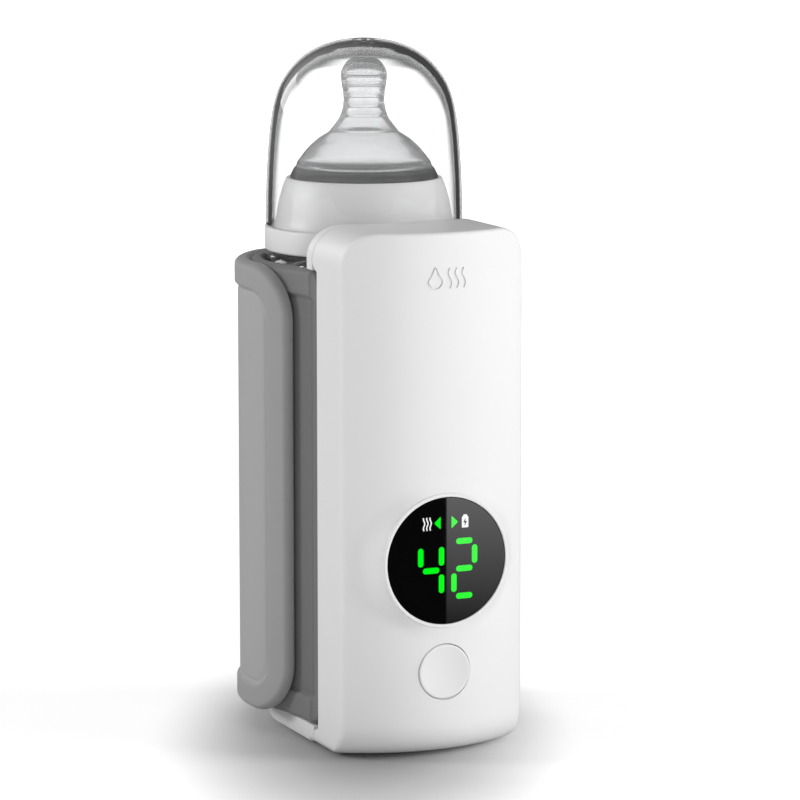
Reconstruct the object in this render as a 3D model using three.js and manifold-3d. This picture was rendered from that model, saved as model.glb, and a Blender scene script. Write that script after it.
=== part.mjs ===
// Portable bottle warmer with a baby bottle standing in its sleeve.
// Millimetres. +Z is up, the display faces -Y, and the origin is on the standing plane, on the bottle's axis.

import * as THREE from 'three';
import { mergeVertices } from 'three/addons/utils/BufferGeometryUtils.js';
import Module from 'manifold-3d';

const wasm = await Module();
wasm.setup();

// ---------- Driving dimensions ----------

const gap = 0.3; // clearance between pieces that touch

const housing = {
  halfWidth: 30.8,
  top: 164.4,
  bottom: 0.6,
  topCorner: 10.3,
  bottomCorner: 2.5,
  frontFillet: 11,
  frontEdgeY: -53.1,
  bulge: 10,
  wall: 2,
  seamY: -31.05,
  rearY: -25.6,
  saddle: 6.4,
};

const slot = { bottom: 6.2, top: 151, notchY: -34.6, recessX: 27.3 };

const shelf = { top: 6.2, radius: 30.6 };

const display = { z: 62.9, lensRadius: 19.85, rimRadius: 21, baseRadius: 24.5, rimY: -64.2, windowRadius: 18.4 };

const button = { z: 27.7, radius: 8.62, rimY: -62.9, dish: 1, flangeY: -57.2, travel: 0.8 };

const pad = { halfWidth: 17, bottom: 12, top: 146, pocket: 1.5, contactRadius: 31.1 };

const sleeve = {
  bottom: 6.8,
  top: 150.4,
  innerRadius: 31.4,
  outerRadius: 35.8,
  overlapInner: 36.1,
  overlapOuter: 40.4,
  flapBottom: 7.6,
  flapCorner: 17,
  edgeLift: 2,
  freeEdgeAngle: 59,
  innerEndAngle: 128,
  hingeAngle: 196,
};

const cell = { radius: 9.2, length: 65, x: 9.75, y: -48.5, bottom: 88.6 };

const board = { halfWidth: 24, bottom: 8, top: 86, frontY: -50, thickness: 1.6 };

const pillar = { x: 13, zLow: 14, zHigh: 83, radius: 3, rearY: -36.5 };

const usb = { y: -46.5, z: 22, width: 8.94, height: 3.26, front: 30, back: 22.4 };

const bottle = { radius: 30.8, bottom: 6.5, shoulder: 147.5, neckRadius: 23.2, neckTop: 169.1 };

const thread = { pitch: 4.5, start: 156.5, neckTip: 24.4, collarRoot: 24.8, collarTip: 23.7 };

// ---------- Helpers ----------

function solid(geometry) {
  const bare = geometry.index ? geometry.toNonIndexed() : geometry.clone();
  bare.deleteAttribute('normal');
  bare.deleteAttribute('uv');
  const merged = mergeVertices(bare, 1e-4);
  const vertProperties = new Float32Array(merged.attributes.position.array);
  const triVerts = new Uint32Array(merged.index.array);
  const made = new wasm.Manifold(new wasm.Mesh({ numProp: 3, vertProperties, triVerts }));
  if (made.volume() < 0) throw new Error('inside-out solid');
  return made;
}

function geometryOf(manifold) {
  const mesh = manifold.getMesh();
  const geometry = new THREE.BufferGeometry();
  geometry.setAttribute('position', new THREE.BufferAttribute(new Float32Array(mesh.vertProperties), 3));
  geometry.setIndex(new THREE.BufferAttribute(new Uint32Array(mesh.triVerts), 1));
  geometry.computeVertexNormals();
  return geometry;
}

function arcRadius(halfChord, sagitta) {
  return (halfChord * halfChord + sagitta * sagitta) / (2 * sagitta);
}

// Outline points in the plan view, extruded upwards.
function extrudeUp(points, zLow, zHigh) {
  const shape = new THREE.Shape(points.map(([x, y]) => new THREE.Vector2(x, y)));
  const geometry = new THREE.ExtrudeGeometry(shape, { depth: zHigh - zLow, bevelEnabled: false });
  geometry.translate(0, 0, zLow);
  return solid(geometry);
}

// A shape drawn in x and z, extruded along Y.
function extrudeAlongY(shape, yLow, yHigh, curveSegments = 6) {
  const geometry = new THREE.ExtrudeGeometry(shape, { depth: yHigh - yLow, bevelEnabled: false, curveSegments });
  geometry.rotateX(Math.PI / 2);
  geometry.translate(0, yHigh, 0);
  return solid(geometry);
}

// A shape drawn in y and z, extruded along X.
function extrudeAlongX(shape, xLow, xHigh, curveSegments = 6) {
  const geometry = new THREE.ExtrudeGeometry(shape, { depth: xHigh - xLow, bevelEnabled: false, curveSegments });
  const axes = new THREE.Matrix4().makeBasis(
    new THREE.Vector3(0, 1, 0),
    new THREE.Vector3(0, 0, 1),
    new THREE.Vector3(1, 0, 0),
  );
  geometry.applyMatrix4(axes);
  geometry.translate(xLow, 0, 0);
  return solid(geometry);
}

function box(x0, x1, y0, y1, z0, z1) {
  const geometry = new THREE.BoxGeometry(x1 - x0, y1 - y0, z1 - z0);
  geometry.translate((x0 + x1) / 2, (y0 + y1) / 2, (z0 + z1) / 2);
  return solid(geometry);
}

// Cylinder or cone with its axis along Y. The front is the end at the lower y.
function discAlongY(x, z, frontRadius, rearRadius, yFront, yRear, segments = 32) {
  const geometry = new THREE.CylinderGeometry(rearRadius, frontRadius, yRear - yFront, segments);
  geometry.translate(x, (yFront + yRear) / 2, z);
  return solid(geometry);
}

// Cylinder with its axis along Z.
function rodAlongZ(x, y, radius, zLow, zHigh, segments = 24) {
  const geometry = new THREE.CylinderGeometry(radius, radius, zHigh - zLow, segments);
  geometry.rotateX(Math.PI / 2);
  geometry.translate(x, y, (zLow + zHigh) / 2);
  return solid(geometry);
}

// Profile of [radius, z] pairs turned about the bottle's axis, outside going up, inside coming down.
function turned(profile, segments = 32) {
  const points = profile.map(([r, z]) => new THREE.Vector2(r, z));
  const geometry = new THREE.LatheGeometry(points, segments);
  geometry.rotateX(Math.PI / 2);
  return solid(geometry);
}

function roundedRectangle(x0, x1, z0, z1, lowRadius, highRadius) {
  const shape = new THREE.Shape();
  shape.moveTo(x0 + lowRadius, z0);
  shape.lineTo(x1 - lowRadius, z0);
  shape.absarc(x1 - lowRadius, z0 + lowRadius, lowRadius, -Math.PI / 2, 0, false);
  shape.lineTo(x1, z1 - highRadius);
  shape.absarc(x1 - highRadius, z1 - highRadius, highRadius, 0, Math.PI / 2, false);
  shape.lineTo(x0 + highRadius, z1);
  shape.absarc(x0 + highRadius, z1 - highRadius, highRadius, Math.PI / 2, Math.PI, false);
  shape.lineTo(x0, z0 + lowRadius);
  shape.absarc(x0 + lowRadius, z0 + lowRadius, lowRadius, Math.PI, Math.PI * 1.5, false);
  return shape;
}

// A closed skin of triangles, turned so that its faces point outwards.
function closedSkin(corners, triangles) {
  let volume = 0;
  for (const triangle of triangles) {
    const [p, q, r] = triangle.map((i) => new THREE.Vector3(...corners[i]));
    volume += p.dot(q.cross(r));
  }
  const ordered = volume > 0 ? triangles : triangles.map(([a, b, c]) => [a, c, b]);
  const geometry = new THREE.BufferGeometry();
  geometry.setAttribute('position', new THREE.BufferAttribute(new Float32Array(corners.flat()), 3));
  geometry.setIndex(ordered.flat());
  return solid(geometry);
}

// A wall that follows a path in plan. Each station is { outer: [x, y], inner: [x, y], z0, z1 }.
function wallAlong(stations) {
  const corners = [];
  for (const { outer, inner, z0, z1 } of stations) {
    corners.push([...outer, z0], [...inner, z0], [...inner, z1], [...outer, z1]);
  }
  const triangles = [];
  for (let i = 0; i + 1 < stations.length; i += 1) {
    for (let side = 0; side < 4; side += 1) {
      const a = i * 4 + side;
      const b = i * 4 + ((side + 1) % 4);
      triangles.push([a, b, b + 4], [a, b + 4, a + 4]);
    }
  }
  const last = (stations.length - 1) * 4;
  triangles.push([0, 2, 1], [0, 3, 2], [last, last + 1, last + 2], [last, last + 2, last + 3]);
  return closedSkin(corners, triangles);
}

// A screw-thread ridge of trapezoid section that climbs about the bottle's axis.
function threadRidge(rootRadius, tipRadius, zStart, turns) {
  const steps = Math.round(turns * 20);
  const rootHalf = 0.8;
  const tipHalf = 0.4;
  const corners = [];
  for (let i = 0; i <= steps; i += 1) {
    const angle = (i / steps) * turns * 2 * Math.PI;
    const z = zStart + (thread.pitch * angle) / (2 * Math.PI);
    const section = [[rootRadius, -rootHalf], [tipRadius, -tipHalf], [tipRadius, tipHalf], [rootRadius, rootHalf]];
    for (const [r, dz] of section) corners.push([r * Math.cos(angle), r * Math.sin(angle), z + dz]);
  }
  const triangles = [];
  for (let i = 0; i < steps; i += 1) {
    for (let side = 0; side < 4; side += 1) {
      const a = i * 4 + side;
      const b = i * 4 + ((side + 1) % 4);
      triangles.push([a, b + 4, b], [a, a + 4, b + 4]);
    }
  }
  const last = steps * 4;
  triangles.push([0, 1, 2], [0, 2, 3], [last, last + 2, last + 1], [last, last + 3, last + 2]);
  return closedSkin(corners, triangles);
}

// ---------- The object ----------

const bottleWarmer = new THREE.Group();

function addPiece(name, manifold, color, roughness = 0.5, metalness = 0) {
  const mesh = new THREE.Mesh(geometryOf(manifold), new THREE.MeshStandardMaterial({ color, roughness, metalness }));
  mesh.name = name;
  bottleWarmer.add(mesh);
}

const white = '#eeeeee';
const softGrey = '#9b9b9b';
const circuitGreen = '#1f5a37';
const steel = '#c2c4c6';

// ---------- Housing surfaces in plan ----------

const faceRadius = arcRadius(housing.halfWidth, housing.bulge);
const saddleRadius = arcRadius(housing.halfWidth, housing.saddle);

function faceY(x, inset) {
  const centre = housing.frontEdgeY - housing.bulge + faceRadius;
  return centre - Math.sqrt((faceRadius - inset) ** 2 - x * x);
}

// The hollow back: zero shift is the rear surface, a negative shift is nearer the front.
function saddleY(x, shift) {
  const centre = housing.rearY - housing.saddle + saddleRadius;
  return centre - Math.sqrt(saddleRadius ** 2 - x * x) + shift;
}

function across(halfWidth, steps, curve) {
  const points = [];
  for (let i = 0; i <= steps; i += 1) {
    const x = -halfWidth + (2 * halfWidth * i) / steps;
    points.push([x, curve(x)]);
  }
  return points;
}

function plateBetween(halfWidth, front, rear, zLow, zHigh, steps = 14) {
  return extrudeUp([...across(halfWidth, steps, front), ...across(halfWidth, steps, rear).reverse()], zLow, zHigh);
}

// The slab's rounded outline seen from the front, at a given inset, as a solid that runs from front to back.
function frontOutline(inset, yLow, yHigh) {
  const w = housing.halfWidth - inset;
  const low = Math.max(housing.bottomCorner - inset, 0.5);
  const high = housing.topCorner - inset;
  const shape = roundedRectangle(-w, w, housing.bottom + inset, housing.top - inset, low, high);
  return extrudeAlongY(shape, yLow, yHigh, 5);
}

// The block behind the curved face. Its foot is rounded back from the face at every point across.
function roundedFace(inset, columns = 16, arcSteps = 6) {
  const halfWidth = housing.halfWidth - inset;
  const radius = housing.frontFillet - inset;
  const bottom = housing.bottom + inset;
  const levels = [];
  for (let i = 0; i <= arcSteps; i += 1) {
    const angle = (Math.PI / 2) * (i / arcSteps);
    levels.push([bottom + radius * (1 - Math.cos(angle)), radius * (1 - Math.sin(angle))]);
  }
  levels.push([housing.top, 0]);
  const corners = [];
  for (const [z, depth] of levels) {
    for (const [x, y] of across(halfWidth, columns, (at) => faceY(at, inset) + depth)) {
      corners.push([x, y, z]);
    }
  }
  const rearStart = corners.length;
  for (const [z] of levels) {
    for (const [x] of across(halfWidth, columns, () => 0)) {
      corners.push([x, 0, z]);
    }
  }
  const stride = columns + 1;
  const triangles = [];
  const quad = (p, q, r, t) => triangles.push([p, q, r], [p, r, t]);
  const lastLevel = levels.length - 1;
  for (let level = 0; level < lastLevel; level += 1) {
    for (let k = 0; k < columns; k += 1) {
      const at = level * stride + k;
      quad(at, at + 1, at + stride + 1, at + stride);
      const rear = rearStart + at;
      quad(rear, rear + stride, rear + stride + 1, rear + 1);
    }
    const left = level * stride;
    quad(left, left + stride, rearStart + left + stride, rearStart + left);
    const right = left + columns;
    quad(right, rearStart + right, rearStart + right + stride, right + stride);
  }
  for (let k = 0; k < columns; k += 1) {
    quad(k, rearStart + k, rearStart + k + 1, k + 1);
    const at = lastLevel * stride + k;
    quad(at, at + 1, rearStart + at + 1, rearStart + at);
  }
  return closedSkin(corners, triangles);
}

const seamShift = housing.seamY - housing.rearY;

function frontBlock(inset, rearCurve) {
  const plan = plateBetween(housing.halfWidth - inset, (x) => faceY(x, inset), rearCurve, 0, housing.top, 16);
  return plan.intersect(frontOutline(inset, -80, 0)).intersect(roundedFace(inset));
}

// ---------- Front shell ----------

function makeFrontShell() {
  const { z, rimRadius, baseRadius, rimY, lensRadius, windowRadius } = display;
  const blockRearY = -59;
  let shell = frontBlock(0, (x) => saddleY(x, seamShift));
  shell = shell.add(discAlongY(0, z, rimRadius, baseRadius, rimY, -60.5, 48));
  shell = shell.subtract(frontBlock(housing.wall, () => housing.rearY));
  // The boss is solid behind its rim, back to a flat flange, and carries a sleeve that guides the button.
  const flange = discAlongY(0, z, baseRadius, baseRadius, -61.5, blockRearY, 48);
  const guide = discAlongY(0, button.z, button.radius + 2.4, button.radius + 2.4, -61.5, button.flangeY - gap, 32);
  const keep = frontBlock(0.8, () => housing.rearY);
  shell = shell.add(flange.intersect(keep)).add(guide.intersect(keep));
  for (const x of [-pillar.x, pillar.x]) {
    for (const pillarZ of [pillar.zLow, pillar.zHigh]) {
      const post = discAlongY(x, pillarZ, pillar.radius, pillar.radius, -62, pillar.rearY, 16);
      shell = shell.add(post.intersect(keep));
      shell = shell.subtract(discAlongY(x, pillarZ, 1.5, 1.5, -48, pillar.rearY + 1, 12));
    }
  }
  shell = shell.subtract(discAlongY(0, z, lensRadius + gap, lensRadius + gap, rimY - 1, -61.9, 48));
  shell = shell.subtract(discAlongY(0, z, windowRadius, windowRadius, -70, -50, 40));
  shell = shell.subtract(discAlongY(0, button.z, button.radius + gap, button.radius + gap, -70, -50, 32));
  for (const side of [-1, 1]) {
    const [x0, x1] = side < 0 ? [-40, -20] : [20, 40];
    shell = shell.subtract(box(x0, x1, slot.notchY, 0, slot.bottom, slot.top));
  }
  const socketHole = roundedRectangle(
    usb.y - usb.height / 2 - gap,
    usb.y + usb.height / 2 + gap,
    usb.z - usb.width / 2 - gap,
    usb.z + usb.width / 2 + gap,
    usb.height / 2 + gap - 0.05,
    usb.height / 2 + gap - 0.05,
  );
  shell = shell.subtract(extrudeAlongX(socketHole, 26, 34, 5));
  return shell.subtract(box(-21.3, 21.3, -46.3, -38.7, 0, 1.5));
}

addPiece('front_shell', makeFrontShell(), white, 0.35);

// ---------- Back shell and shelf ----------

function shelfOutline(radius) {
  const points = across(radius, 8, (x) => saddleY(x, -1));
  const steps = 20;
  for (let i = 0; i <= steps; i += 1) {
    const angle = (Math.PI * i) / steps;
    points.push([radius * Math.cos(angle), radius * Math.sin(angle)]);
  }
  return points;
}

function makeBackShell() {
  let shell = plateBetween(
    housing.halfWidth,
    (x) => saddleY(x, seamShift + gap),
    (x) => saddleY(x, 0),
    0,
    housing.top,
  );
  shell = shell.intersect(frontOutline(0, -60, 0));
  shell = shell.add(extrudeUp(shelfOutline(shelf.radius), housing.bottom, shelf.top));
  for (const [x0, x1] of [[-40, -slot.recessX], [slot.recessX, 40]]) {
    shell = shell.subtract(box(x0, x1, -60, -20, slot.bottom, slot.top));
  }
  const rim = slot.recessX - 2;
  const plateFront = -(pad.pocket + housing.wall);
  shell = shell.subtract(
    plateBetween(rim, (x) => saddleY(x, seamShift - 3), (x) => saddleY(x, plateFront), 8.2, housing.top - 4.5),
  );
  for (const x of [-pillar.x, pillar.x]) {
    for (const z of [pillar.zLow, pillar.zHigh]) {
      const seat = discAlongY(x, z, pillar.radius + 0.4, pillar.radius + 0.4, pillar.rearY + gap, -33.6, 16);
      shell = shell.add(seat);
      shell = shell.subtract(discAlongY(x, z, 1.5, 1.5, -40, -30, 12));
    }
  }
  const pocketFront = (x) => saddleY(x, -pad.pocket);
  shell = shell.subtract(
    plateBetween(pad.halfWidth + gap, pocketFront, (x) => saddleY(x, 8), pad.bottom - gap, pad.top + gap),
  );
  for (const x of [-pillar.x, pillar.x]) {
    for (const z of [pillar.zLow, pillar.zHigh]) {
      shell = shell.subtract(discAlongY(x, z, 2.9, 2.9, -34.4, -30, 16));
    }
  }
  shell = shell.subtract(discAlongY(0, 45, 3.8, 3.8, -40, -30, 20));
  return shell.subtract(rodAlongZ(0, 0, 24.3, 0, 1.5, 40));
}

addPiece('back_shell', makeBackShell(), white, 0.4);

for (const [name, x, z] of [
  ['screw_low_left', -pillar.x, pillar.zLow],
  ['screw_low_right', pillar.x, pillar.zLow],
  ['screw_high_left', -pillar.x, pillar.zHigh],
  ['screw_high_right', pillar.x, pillar.zHigh],
]) {
  const head = discAlongY(x, z, 2.5, 2.2, -34.1, -32.9, 16);
  const shank = discAlongY(x, z, 1.2, 1.2, -46, -33.5, 12);
  addPiece(name, head.add(shank), steel, 0.3, 1);
}

addPiece('foot_pad_front', box(-21, 21, -46, -39, 0, 1.2), '#5a5a5c', 0.9);
addPiece('foot_pad_rear', rodAlongZ(0, 0, 24, 0, 1.2, 40), '#5a5a5c', 0.9);

// ---------- Display and button ----------

addPiece('display_lens', discAlongY(0, display.z, 19.5, display.lensRadius, -63.9, -62.2, 48), '#050505', 0.05);
addPiece('display_module', discAlongY(0, display.z, 18, 18, -61.9, -57, 32), '#d8d8d8', 0.6);
addPiece('display_board', box(-19, 19, -56.7, -55.5, 44, 79), circuitGreen, 0.5);

function makeButton() {
  const { radius, rimY, dish, flangeY } = button;
  const flangeRadius = radius + 1.7;
  const profile = [[0, -flangeY - 1], [flangeRadius, -flangeY - 1], [flangeRadius, -flangeY], [radius, -flangeY]];
  profile.push([radius, -rimY - 0.5], [radius - 0.5, -rimY]);
  for (let i = 1; i <= 5; i += 1) {
    const r = (radius - 0.5) * (1 - i / 5);
    profile.push([r, -rimY - dish * (1 - (r / (radius - 0.5)) ** 2)]);
  }
  const geometry = new THREE.LatheGeometry(profile.map(([r, h]) => new THREE.Vector2(r, h)), 32);
  geometry.rotateX(Math.PI / 2);
  geometry.rotateX(Math.PI / 2);
  geometry.translate(0, 0, button.z);
  return solid(geometry);
}

addPiece('power_button', makeButton(), white, 0.35);
addPiece('switch_plunger', discAlongY(0, button.z, 1.75, 1.75, button.flangeY + 1 + gap, -52.6, 16), '#2a2a2c', 0.5);

const switchBody = box(-3, 3, -53.9, board.frontY - gap, button.z - 3, button.z + 3);
const switchBore = discAlongY(0, button.z, 2.1, 2.1, -54.5, -51.4, 16);
addPiece('push_switch', switchBody.subtract(switchBore), '#36363a', 0.5);

// ---------- Electronics ----------

function makeMainBoard() {
  let made = box(-board.halfWidth, board.halfWidth, board.frontY, board.frontY + board.thickness, board.bottom, board.top);
  for (const x of [-pillar.x, pillar.x]) {
    for (const z of [pillar.zLow, pillar.zHigh]) {
      made = made.subtract(discAlongY(x, z, pillar.radius + 0.4, pillar.radius + 0.4, -54, -44, 16));
    }
  }
  return made;
}

addPiece('main_board', makeMainBoard(), circuitGreen, 0.5);

function makeUsbSocket() {
  const outline = (grow) => roundedRectangle(
    usb.y - usb.height / 2 - grow,
    usb.y + usb.height / 2 + grow,
    usb.z - usb.width / 2 - grow,
    usb.z + usb.width / 2 + grow,
    usb.height / 2 + grow - 0.05,
    usb.height / 2 + grow - 0.05,
  );
  const shellBody = extrudeAlongX(outline(0), usb.back, usb.front, 5);
  const cavity = extrudeAlongX(outline(-0.35), usb.back + 1, usb.front + 1, 5);
  const tongue = box(usb.back + 0.5, usb.front - 1, usb.y - 0.35, usb.y + 0.35, usb.z - 3.3, usb.z + 3.3);
  return shellBody.subtract(cavity).add(tongue);
}

addPiece('usb_c_socket', makeUsbSocket(), steel, 0.3, 1);

const cellTop = cell.bottom + cell.length;
for (const [name, x] of [['battery_cell_left', -cell.x], ['battery_cell_right', cell.x]]) {
  addPiece(name, rodAlongZ(x, cell.y, cell.radius, cell.bottom, cellTop, 28), '#3f6fb0', 0.4);
}

function makeCellHolder() {
  let holder = box(-20.5, 20.5, -47, -37.4, cell.bottom - 2, cellTop + 2);
  for (const x of [-cell.x, cell.x]) {
    holder = holder.subtract(rodAlongZ(x, cell.y, cell.radius + gap, cell.bottom - 0.9, cellTop + 0.9, 28));
  }
  return holder.subtract(box(-1.5, 1.5, -50, -42, cell.bottom - 0.9, cellTop + 0.9));
}

addPiece('cell_holder', makeCellHolder(), '#2b2b2e', 0.6);
addPiece('nickel_strap_top', box(-17, 17, -54, -47.4, cellTop + gap, cellTop + 0.6), steel, 0.3, 1);
addPiece('nickel_strap_bottom', box(-17, 17, -54, -47.4, cell.bottom - 0.6, cell.bottom - gap), steel, 0.3, 1);
addPiece('protection_board', box(-16, 16, -56, -42, cellTop + 3.4, cellTop + 4.6), circuitGreen, 0.5);

function lead(points, radius) {
  const curve = new THREE.CatmullRomCurve3(points.map((p) => new THREE.Vector3(...p)));
  const section = new THREE.Shape();
  section.absarc(0, 0, radius, 0, Math.PI * 2, false);
  const steps = 8;
  return solid(new THREE.ExtrudeGeometry(section, { steps, curveSegments: 4, extrudePath: curve, bevelEnabled: false }));
}

const batteryRoute = [[22.5, -50, 156], [23.2, -49, 140], [23.2, -48, 112], [23, -46.9, 94], [22.6, -46.9, 82]];
const heaterRoute = [[-20, -47.2, 60], [-21.5, -43, 62], [-20, -39, 66], [-18, -37.5, 72]];
addPiece('battery_lead', lead(batteryRoute, 0.8), '#a02020', 0.5);
addPiece('heater_lead', lead(heaterRoute, 0.8), '#c8c8c8', 0.5);

// ---------- Saddle behind the bottle ----------

function filmCurve(depth) {
  return (x) => saddleY(x, depth - pad.pocket);
}

const filmHalfWidth = pad.halfWidth - 0.2;
addPiece(
  'heating_film',
  plateBetween(filmHalfWidth, filmCurve(gap), filmCurve(gap + 0.45), pad.bottom + 1, pad.top - 1),
  '#b06a28',
  0.4,
);
addPiece(
  'contact_pad',
  plateBetween(
    pad.halfWidth,
    filmCurve(2 * gap + 0.45),
    (x) => -Math.sqrt(pad.contactRadius ** 2 - x * x),
    pad.bottom,
    pad.top,
  ),
  softGrey,
  0.8,
);
addPiece('temperature_sensor', discAlongY(0, 45, 3.5, 3.5, -37, -33.6, 16), steel, 0.3, 1);

// ---------- Sleeve ----------

// Point on a circle about the bottle's axis. The angle starts at the front and grows through the left side.
function around(radius, degrees) {
  const angle = THREE.MathUtils.degToRad(degrees);
  return [-radius * Math.sin(angle), -radius * Math.cos(angle)];
}

function ringStation(innerRadius, outerRadius, degrees) {
  return { outer: around(outerRadius, degrees), inner: around(innerRadius, degrees) };
}

function withHeights(stations, z0, z1) {
  return stations.map((station) => ({ ...station, z0, z1 }));
}

function mirrored(stations) {
  return stations.map(({ outer, inner }) => ({ outer: [-outer[0], outer[1]], inner: [-inner[0], inner[1]] }));
}

function spread(from, to, steps) {
  return Array.from({ length: steps + 1 }, (_, i) => from + ((to - from) * i) / steps);
}

// The end that is clamped in the housing, then the strip that lies flush with the housing's left side.
const clampedEnd = [
  { outer: [-24.9, -36.2], inner: [-24.9, -33.7] },
  { outer: [-28.4, -36.2], inner: [-27.3, -33.7] },
  { outer: [-28.4, -34.3], inner: [-27.5, -33.6] },
  { outer: [-30.5, -34.3], inner: [-27.6, -33.3] },
  { outer: [-30.5, -30], inner: [-27.6, -30] },
  { outer: [-30.6, -26], inner: [-27.7, -26] },
];

const leaving = [
  { outer: [-30.7, -25.4], inner: [-27.75, -25.4] },
  { outer: [-31.4, -20.5], inner: [-28.2, -18.7] },
  ringStation(sleeve.innerRadius, sleeve.outerRadius, 66),
];

const { innerRadius, outerRadius, overlapInner, overlapOuter } = sleeve;

addPiece('sleeve_inner_end', wallAlong(withHeights(clampedEnd, sleeve.bottom, sleeve.top)), softGrey, 0.6);

function closurePatch(inner, outer, from, to, zLow, zHigh) {
  return wallAlong(withHeights(spread(from, to, 4).map((a) => ringStation(inner, outer, a)), zLow, zHigh));
}

const innerLayerStations = [
  ...leaving,
  ...spread(74, sleeve.innerEndAngle, 7).map((angle) => ringStation(innerRadius, outerRadius, angle)),
];
const loopPocket = closurePatch(34.4, 38, 69, 101, 39, 116);
addPiece(
  'sleeve_inner_layer',
  wallAlong(withHeights(innerLayerStations, sleeve.bottom, sleeve.top)).subtract(loopPocket),
  softGrey,
  0.6,
);
addPiece('loop_patch', closurePatch(34.8, 35.6, 70, 100, 40, 115), '#6e6e70', 0.95);

const rightCircle = spread(294, sleeve.hingeAngle + 0.5, 12);
const outerPanelStations = [
  ...mirrored([...clampedEnd, ...leaving]),
  ...rightCircle.slice(1).map((angle) => ringStation(innerRadius, outerRadius, angle)),
];
addPiece('sleeve_outer_panel', wallAlong(withHeights(outerPanelStations, sleeve.bottom, sleeve.top)), softGrey, 0.6);

// The flap steps outwards to pass over the inner layer. Its free edge has two rounded corners, and it thins
// there, where the inner layer comes out of the housing's side.
function makeFlap() {
  const start = sleeve.hingeAngle - 0.5;
  const stepFrom = 165;
  const stepTo = 137;
  const cornerSpan = (sleeve.flapCorner / overlapOuter) * (180 / Math.PI);
  const cornerStart = sleeve.freeEdgeAngle + cornerSpan;
  const angles = [
    ...spread(start, stepFrom, 4),
    ...spread(stepFrom, stepTo, 5).slice(1),
    ...spread(stepTo, cornerStart, 7).slice(1),
    ...[0.2, 0.4, 0.6, 0.75, 0.87, 0.95, 1].map((share) => cornerStart - share * cornerSpan),
  ];
  const stations = angles.map((angle) => {
    const share = THREE.MathUtils.smoothstep(stepFrom - angle, 0, stepFrom - stepTo);
    const intoCorner = Math.max(0, (cornerStart - angle) / cornerSpan);
    const liftOff = sleeve.edgeLift * Math.max(0, (intoCorner - 0.6) / 0.4);
    const inner = THREE.MathUtils.lerp(innerRadius, overlapInner, share) + liftOff;
    const outer = THREE.MathUtils.lerp(outerRadius, overlapOuter, share);
    const drop = sleeve.flapCorner * (1 - Math.sqrt(Math.max(0, 1 - intoCorner ** 2)));
    const z0 = THREE.MathUtils.lerp(sleeve.bottom, sleeve.flapBottom, share) + drop;
    return { ...ringStation(inner, outer, angle), z0, z1: sleeve.top - drop };
  });
  const hookPocket = closurePatch(34, 37.5, 69, 101, 39, 116);
  return wallAlong(stations).subtract(hookPocket);
}

addPiece('sleeve_flap', makeFlap(), softGrey, 0.6);
addPiece('hook_patch', closurePatch(36.3, 37.1, 70, 100, 40, 115), '#58585a', 0.95);

for (const [name, x0, x1] of [['clamp_strip_left', -28.1, -24.9], ['clamp_strip_right', 24.9, 28.1]]) {
  addPiece(name, box(x0, x1, -38.6, -36.5, 10, 147), '#d0d0d0', 0.5);
}

// ---------- Bottle ----------

function makeGlass() {
  const { radius, bottom, shoulder, neckRadius, neckTop } = bottle;
  const wall = 2.4;
  const inner = radius - wall;
  const profile = [
    [0, bottom + 1.2], [20, bottom + 0.8], [24, bottom], [28, bottom + 0.4], [radius, bottom + 4],
    [radius, shoulder], [radius - 2.4, shoulder + 3.6], [neckRadius + 1.6, shoulder + 4.5],
    [neckRadius, shoulder + 5.4], [neckRadius, neckTop], [neckRadius - wall, neckTop],
    [neckRadius - wall, shoulder + 3.4], [inner - 1.2, shoulder - 0.6], [inner, shoulder - 3.5],
    [inner, bottom + 8], [24, bottom + 4.4], [0, bottom + 4.4],
  ];
  return turned(profile).add(threadRidge(neckRadius - 0.4, thread.neckTip, thread.start, 1.3));
}

addPiece('glass_bottle', makeGlass(), '#e8f0f0', 0.05);

function makeTeat() {
  const wall = 1.1;
  const outside = [
    [23.8, 172.1], [23.6, 176.1], [19.9, 182.3], [15.9, 186.7], [10.3, 190.6], [10, 191.8], [7.8, 194.6],
    [6.3, 200.2], [7.3, 207.7], [6.9, 210.8], [5.2, 213], [2.6, 214],
  ];
  const inside = outside.slice(1, -1).map(([r, z]) => [r - wall, z - wall * 0.6]).reverse();
  const profile = [[24.4, 169.5], [24.4, 172.1], ...outside, [0.7, 214.1], [0.7, 213.1]];
  profile.push(...inside, [22, 169.5], [24.4, 169.5]);
  return turned(profile, 24);
}

addPiece('teat', makeTeat(), '#e6e6e6', 0.2);

function makeCollar() {
  const { collarRoot } = thread;
  const profile = [
    [collarRoot, 152.9], [31.2, 152.9], [31.7, 153.4], [31.7, 160], [31.2, 160.5], [28.7, 160.5],
    [27.3, 167.7], [26.1, 172.2], [24.6, 175.8], [24.1, 175.6], [24.1, 172.4], [collarRoot, 172.4],
    [collarRoot, 152.9],
  ];
  const ridge = threadRidge(collarRoot + 0.4, thread.collarTip, thread.start - thread.pitch / 2, 1);
  return turned(profile).add(ridge);
}

addPiece('screw_collar', makeCollar(), white, 0.35);

function makeDome() {
  const wall = 2;
  const outside = [
    [31.3, 160.8], [31.2, 168.3], [30.45, 184.2], [28.6, 198.9], [24.6, 208], [21, 212.4], [17.3, 215.4],
    [13.2, 217.4], [7.5, 219.1], [0, 219.7],
  ];
  const inside = outside.map(([r, z], i) => {
    const before = outside[Math.max(i - 1, 0)];
    const after = outside[Math.min(i + 1, outside.length - 1)];
    const along = new THREE.Vector2(after[0] - before[0], after[1] - before[1]).normalize();
    return [Math.max(r - along.y * wall, 0), z + along.x * wall];
  });
  inside[0] = [outside[0][0] - wall, outside[0][1]];
  inside[inside.length - 1] = [0, outside.at(-1)[1] - wall];
  return turned([...outside, ...inside.reverse(), outside[0]].filter((p, i, all) => i === 0 || p !== all[i - 1]));
}

addPiece('dome_cap', makeDome(), '#f2f4f5', 0.05);

export default bottleWarmer;
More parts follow.
